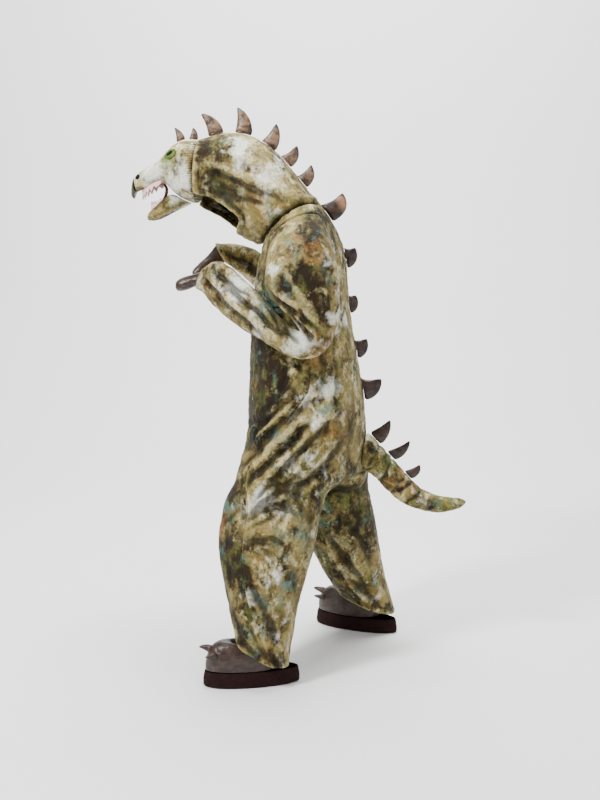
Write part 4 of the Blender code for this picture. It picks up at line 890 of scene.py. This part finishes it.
def satin(name, deep, bright, piped=False):
    """Satin of two browns, if piped with a spike's dark edge and its line of sewing."""
    cloth = Finish(name, roughness=0.38, Specular_IOR_Level=0.35)
    cloth.shader.inputs["Coat Weight"].default_value = 0.12
    cloth.shader.inputs["Coat Roughness"].default_value = 0.35
    band = cloth.noise(0.026, detail=2.0, distortion=0.3, stretch=(0.6, 1.0, 1.5))
    wear = cloth.noise(0.008, detail=3.0, rough=0.6, shift=2.0)
    crease = cloth.noise(0.016, detail=2.0, distortion=0.8, shift=9.0, stretch=(0.4, 1.0, 2.4))
    share = cloth.between(band * 0.8 + wear * 0.2, 0.36, 0.64)
    colour = cloth.mix(share, deep, bright)
    if piped:
        pale, sewing = cloth.stored("pale"), cloth.stored("dark")
        colour = cloth.mix(pale * 0.9, colour, dyed(150, 112, 84))
        across = cloth.node("ShaderNodeSeparateXYZ", values={"Vector": cloth.place()})
        edge = cloth.between(abs(across), EDGE_REACH, EDGE_HALF_WIDTH)
        colour = cloth.mix(edge * 0.8, colour, DARK_EDGE)
        colour = cloth.mix(sewing * 0.9, colour, DARK_EDGE)
    weave = cloth.noise(0.0012, detail=1.0)
    rough = cloth.node(
        "ShaderNodeMapRange", values={"Value": wear, "To Min": 0.28, "To Max": 0.50}
    )
    normal = cloth.bump(crease, 0.004, 0.25, cloth.bump(band, 0.010, 0.40))
    normal = cloth.bump(weave, 0.0003, 0.25, normal)
    return cloth.feed(Base_Color=colour, Roughness=rough, Normal=normal)


SATINS = {
    "light": satin("satin_light_brown", dyed(62, 44, 32), dyed(128, 102, 78), True),
    # Painted shade: a darker copy of the light spike satin for the back spikes that lie in shadow.
    "dark": satin("satin_dark_brown", dyed(24, 14, 10), dyed(60, 41, 29), True),
    "cover": satin("satin_cover", dyed(34, 21, 14), dyed(56, 38, 27)),
    "mitt": satin("satin_mitt", dyed(32, 19, 13), dyed(60, 41, 29)),
    "beak": satin("satin_beak", dyed(34, 36, 24), dyed(72, 74, 54)),
    "claw": satin("satin_claw", dyed(28, 18, 16), dyed(60, 42, 35)),
}
LIGHT_SPIKES = {"spike_brow", "spike_crown"} | {f"spike_0{number}" for number in range(1, 6)}
HALF_SHADED_SPIKE = "spike_06"
LIT_PART_START, LIT_PART_BLEND = 0.5, 0.3
SPIKE_SEWING_HEIGHT = 0.0075
SPIKE_SEWING_HALF_WIDTH = 0.0016
SPIKE_SEWING_SINK = 0.0008
SPIKE_STRIP_HEIGHT = 0.004
SPIKE_STRIP_STRENGTH = 0.4
CLAW_PLUMPNESS = 1.4
SPIKE_BASE_HALF_WIDTH = 0.05


def points_of(name):
    """The points of a finished piece."""
    return np.array([tuple(vert.co) for vert in bpy.data.objects[name].data.vertices])


base_points = np.vstack([suit_points, points_of("plush_head"), points_of("plush_tail")])
base_tree = tree_of(base_points[np.abs(base_points[:, 0]) < SPIKE_BASE_HALF_WIDTH])
SATIN_PARTS = {
    # node name starts: (satin, level, wrinkle)
    "spike": ("dark", 4, 0.0006),
    "claw": ("claw", 3, 0.0009),
    "mitt": ("mitt", 3, 0.0009),
    "foot": ("cover", 3, 0.0009),
    "beak": ("beak", 3, 0.0009),
}
SATIN_WRINKLE_SIZE = 0.022
for name in nodes:
    part = name.split("_")[0]
    if part not in SATIN_PARTS:
        continue
    kind, level, wrinkle = SATIN_PARTS[part]
    points, quads, _ = stuffed(name, level, wrinkle, SATIN_WRINKLE_SIZE)
    shares = {}
    if part == "claw":
        tip = points[np.argmin(points[:, 1])]
        points = tip + CLAW_PLUMPNESS * (points - tip)
    if part == "spike":
        above = np.array([base_tree.find(Vector(point))[2] for point in points])
        sewing = beside(above - SPIKE_SEWING_HEIGHT, SPIKE_SEWING_HALF_WIDTH)
        strip = np.clip(1.0 - above / SPIKE_STRIP_HEIGHT, 0.0, 1.0)
        shares = {"dark": sewing, "pale": strip * SPIKE_STRIP_STRENGTH}
        # Painted shade on this spike's lower part, lighter towards its tip.
        if name == HALF_SHADED_SPIKE:
            up = above / above.max()
            share = np.clip((up - LIT_PART_START) / LIT_PART_BLEND, 0.0, 1.0)
            shares["pale"] = np.maximum(shares["pale"], share)
        points = points - normals_of(points, quads) * (SPIKE_SEWING_SINK * sewing)[:, None]
    if name in LIGHT_SPIKES:
        kind = "light"
    piece = piece_from(f"satin_{name}", points, quads, SATINS[kind], areas=[], **shares)
    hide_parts(name)
    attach(piece, "root")
    "beak_cloth" if part == "beak" else "brown_satin"


# Small pieces and soles: eye patches, pupils, nostrils, teeth and mouth lining of felt, all but
# the teeth softly rounded, slipper soles of dark felt, and the placket, a flap of the fronts'
# plush.
def felt(name, colour, spread=0.12, roughness=0.85, blotch_size=0.012):
    """Felt of one colour with darker blotches; spread is half of how much darker they are."""
    cloth = Finish(name, roughness=roughness, Specular_IOR_Level=0.15)
    fibre = cloth.noise(0.0015, detail=3.0, rough=0.7)
    blotch = cloth.noise(blotch_size, detail=3.0)
    darker = tuple(value * (1 - spread * 2) for value in colour)
    share = cloth.between(blotch * 0.6 + fibre * 0.4, 0.38, 0.62)
    return cloth.feed(
        Base_Color=cloth.mix(share, darker, colour), Normal=cloth.bump(fibre, 0.0008, 0.6)
    )


FELT_PIECES = {
    # node name starts: (finish, level, wrinkle, slot)
    "eye": (felt("felt_green", dyed(96, 118, 52), 0.30, blotch_size=0.006), 3, 0.0004, "eye_felt"),
    "pupil": (felt("felt_black", dyed(14, 16, 10)), 2, 0.0002, "black_felt"),
    "nostril": (felt("felt_nostril", dyed(12, 14, 10)), 2, 0.0002, "black_felt"),
    "teeth": (felt("felt_tooth", dyed(236, 198, 194), 0.08), 2, 0.0003, "tooth_felt"),
    "mouth": (felt("lining_red", dyed(158, 70, 74)), 3, 0.0010, "red_lining"),
    "sole": (felt("felt_sole", dyed(34, 15, 13), 0.18), 2, 0.0006, "dark_sole"),
    "placket": (plush_front, 3, 0.0008, "plush"),
}
for name in nodes:
    part = name.split("_")[0]
    if part not in FELT_PIECES:
        continue
    finish, level, wrinkle, slot = FELT_PIECES[part]
    kind = "SIMPLE" if part == "teeth" else "CATMULL_CLARK"
    points, quads, shift = stuffed(name, level, wrinkle, 0.012, kind)
    piece = piece_from(f"felt_{name}", points, quads, finish, ridge=0.3 * shift)
    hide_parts(name)
    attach(piece, "root")


# Stitches: short thread beads along both edges of the crest band, the hems, the cuffs, the face
# opening and the eye patches. One node tree resamples a line and sets a bead on each point.
STITCH_SPACING = 0.0055
STITCH_LENGTH = 0.0036
STITCH_WIDTH = 0.0011
STITCH_LIFT = 0.0004
thread = felt("thread_olive", dyed(92, 82, 48), 0.2, 0.6)

stitcher = bpy.data.node_groups.new("stitch_line", "GeometryNodeTree")
stitcher.interface.new_socket("Lines", in_out="INPUT", socket_type="NodeSocketGeometry")
STITCH_SIZES = {"Spacing": STITCH_SPACING, "Length": STITCH_LENGTH, "Width": STITCH_WIDTH}
for label, size in STITCH_SIZES.items():
    socket = stitcher.interface.new_socket(label, in_out="INPUT", socket_type="NodeSocketFloat")
    socket.default_value = size
stitcher.interface.new_socket("Thread", in_out="INPUT", socket_type="NodeSocketMaterial")
stitcher.interface.new_socket("Stitches", in_out="OUTPUT", socket_type="NodeSocketGeometry")


def step_node(kind, links=None, **settings):
    """One geometry node with its settings and its named or numbered inputs."""
    made = stitcher.nodes.new(kind)
    for name, setting in settings.items():
        setattr(made, name, setting)
    for name, value in (links or {}).items():
        if hasattr(value, "is_output"):
            stitcher.links.new(value, made.inputs[name])
        else:
            made.inputs[name].default_value = value
    return made


given = step_node("NodeGroupInput").outputs
curve = step_node("GeometryNodeMeshToCurve", {"Mesh": given["Lines"]})
even = step_node(
    "GeometryNodeResampleCurve",
    {"Curve": curve.outputs[0], "Length": given["Spacing"]},
    mode="LENGTH",
)
half_length = step_node("ShaderNodeMath", {0: given["Length"], 1: 0.5}, operation="MULTIPLY")
half_width = step_node("ShaderNodeMath", {0: given["Width"], 1: 0.5}, operation="MULTIPLY")
size = step_node(
    "ShaderNodeCombineXYZ",
    {"X": half_length.outputs[0], "Y": half_width.outputs[0], "Z": half_width.outputs[0]},
)
bead = step_node("GeometryNodeMeshIcoSphere", {"Radius": 1.0, "Subdivisions": 1})
tangent = step_node("GeometryNodeInputTangent")
turned = step_node("FunctionNodeAlignRotationToVector", {"Vector": tangent.outputs[0]}, axis="X")
placed = step_node(
    "GeometryNodeInstanceOnPoints",
    {
        "Points": even.outputs[0],
        "Instance": bead.outputs[0],
        "Rotation": turned.outputs[0],
        "Scale": size.outputs[0],
    },
)
real = step_node("GeometryNodeRealizeInstances", {"Geometry": placed.outputs[0]})
dressed = step_node(
    "GeometryNodeSetMaterial", {"Geometry": real.outputs[0], "Material": given["Thread"]}
)
step_node("NodeGroupOutput", {"Stitches": dressed.outputs[0]})


def stitches(name, points, edges):
    """Thread beads along the given line pieces."""
    mesh = bpy.data.meshes.new(name)
    mesh.from_pydata([tuple(point) for point in points], edges, [])
    piece = new_object(name, mesh)
    sewn = piece.modifiers.new("stitches", "NODES")
    sewn.node_group = stitcher
    for item in stitcher.interface.items_tree:
        if item.in_out == "INPUT" and item.name == "Thread":
            sewn[item.identifier] = thread
    bake(piece)
    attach(piece, "root")


final_normals = normals_of(suit_points, suit_quads)


def line_beside(wanted):
    """A line half a quad in from the edges that wanted picks, as points and edges."""
    places, points, edges = {}, [], []
    for (one, other), quads in around_edge.items():
        for index in quads:
            if not wanted(quads, index):
                continue
            quad = suit_quads[index].tolist()
            ends = []
            for corner in (one, other):
                place = quad.index(corner)
                near = {quad[place - 1], quad[(place + 1) % 4]} - {one, other}
                if not near:
                    continue
                inner = near.pop()
                key = (min(corner, inner), max(corner, inner))
                if key not in places:
                    places[key] = len(points)
                    middle = (suit_points[corner] + suit_points[inner]) / 2
                    facing = final_normals[corner] + final_normals[inner]
                    facing /= np.linalg.norm(facing)
                    points.append(middle + STITCH_LIFT * facing)
                ends.append(places[key])
            if len(ends) == 2 and ends[0] != ends[1]:
                edges.append(ends)
    return points, edges


def beside_crest(quads, index):
    marks = {int(suit_marks[quad]) for quad in quads}
    return len(marks) == 2 and crest_mark in marks and suit_marks[index] == crest_mark


def along_rim(quads, index):
    return len(quads) == 1


stitches("stitches_crest", *line_beside(beside_crest))
stitches("stitches_rims", *line_beside(along_rim))

EYE_RING = 28
EYE_STITCH_SHARE = 0.90
for side in ("left", "right"):
    patch = points_of(f"felt_eye_{side}")
    middle = patch.mean(axis=0)
    away = patch - middle
    turn = np.arctan2(away[:, 2], away[:, 1])
    reach = np.hypot(away[:, 2], away[:, 1])
    outward = math.copysign(1.0, middle[0])
    ring = []
    for step in range(EYE_RING):
        aim = -math.pi + 2 * math.pi * (step + 0.5) / EYE_RING
        close = np.abs((turn - aim + math.pi) % (2 * math.pi) - math.pi) < math.pi / EYE_RING
        wide = EYE_STITCH_SHARE * reach[close].max()
        place = middle + wide * np.array((0.0, math.cos(aim), math.sin(aim)))
        off = np.hypot(patch[:, 1] - place[1], patch[:, 2] - place[2])
        near = np.argmin(off - outward * patch[:, 0])
        place[0] = patch[near, 0] + outward * STITCH_LIFT
        ring.append(place)
    round_about = [(step, (step + 1) % EYE_RING) for step in range(EYE_RING)]
    stitches(f"stitches_eye_{side}", ring, round_about)
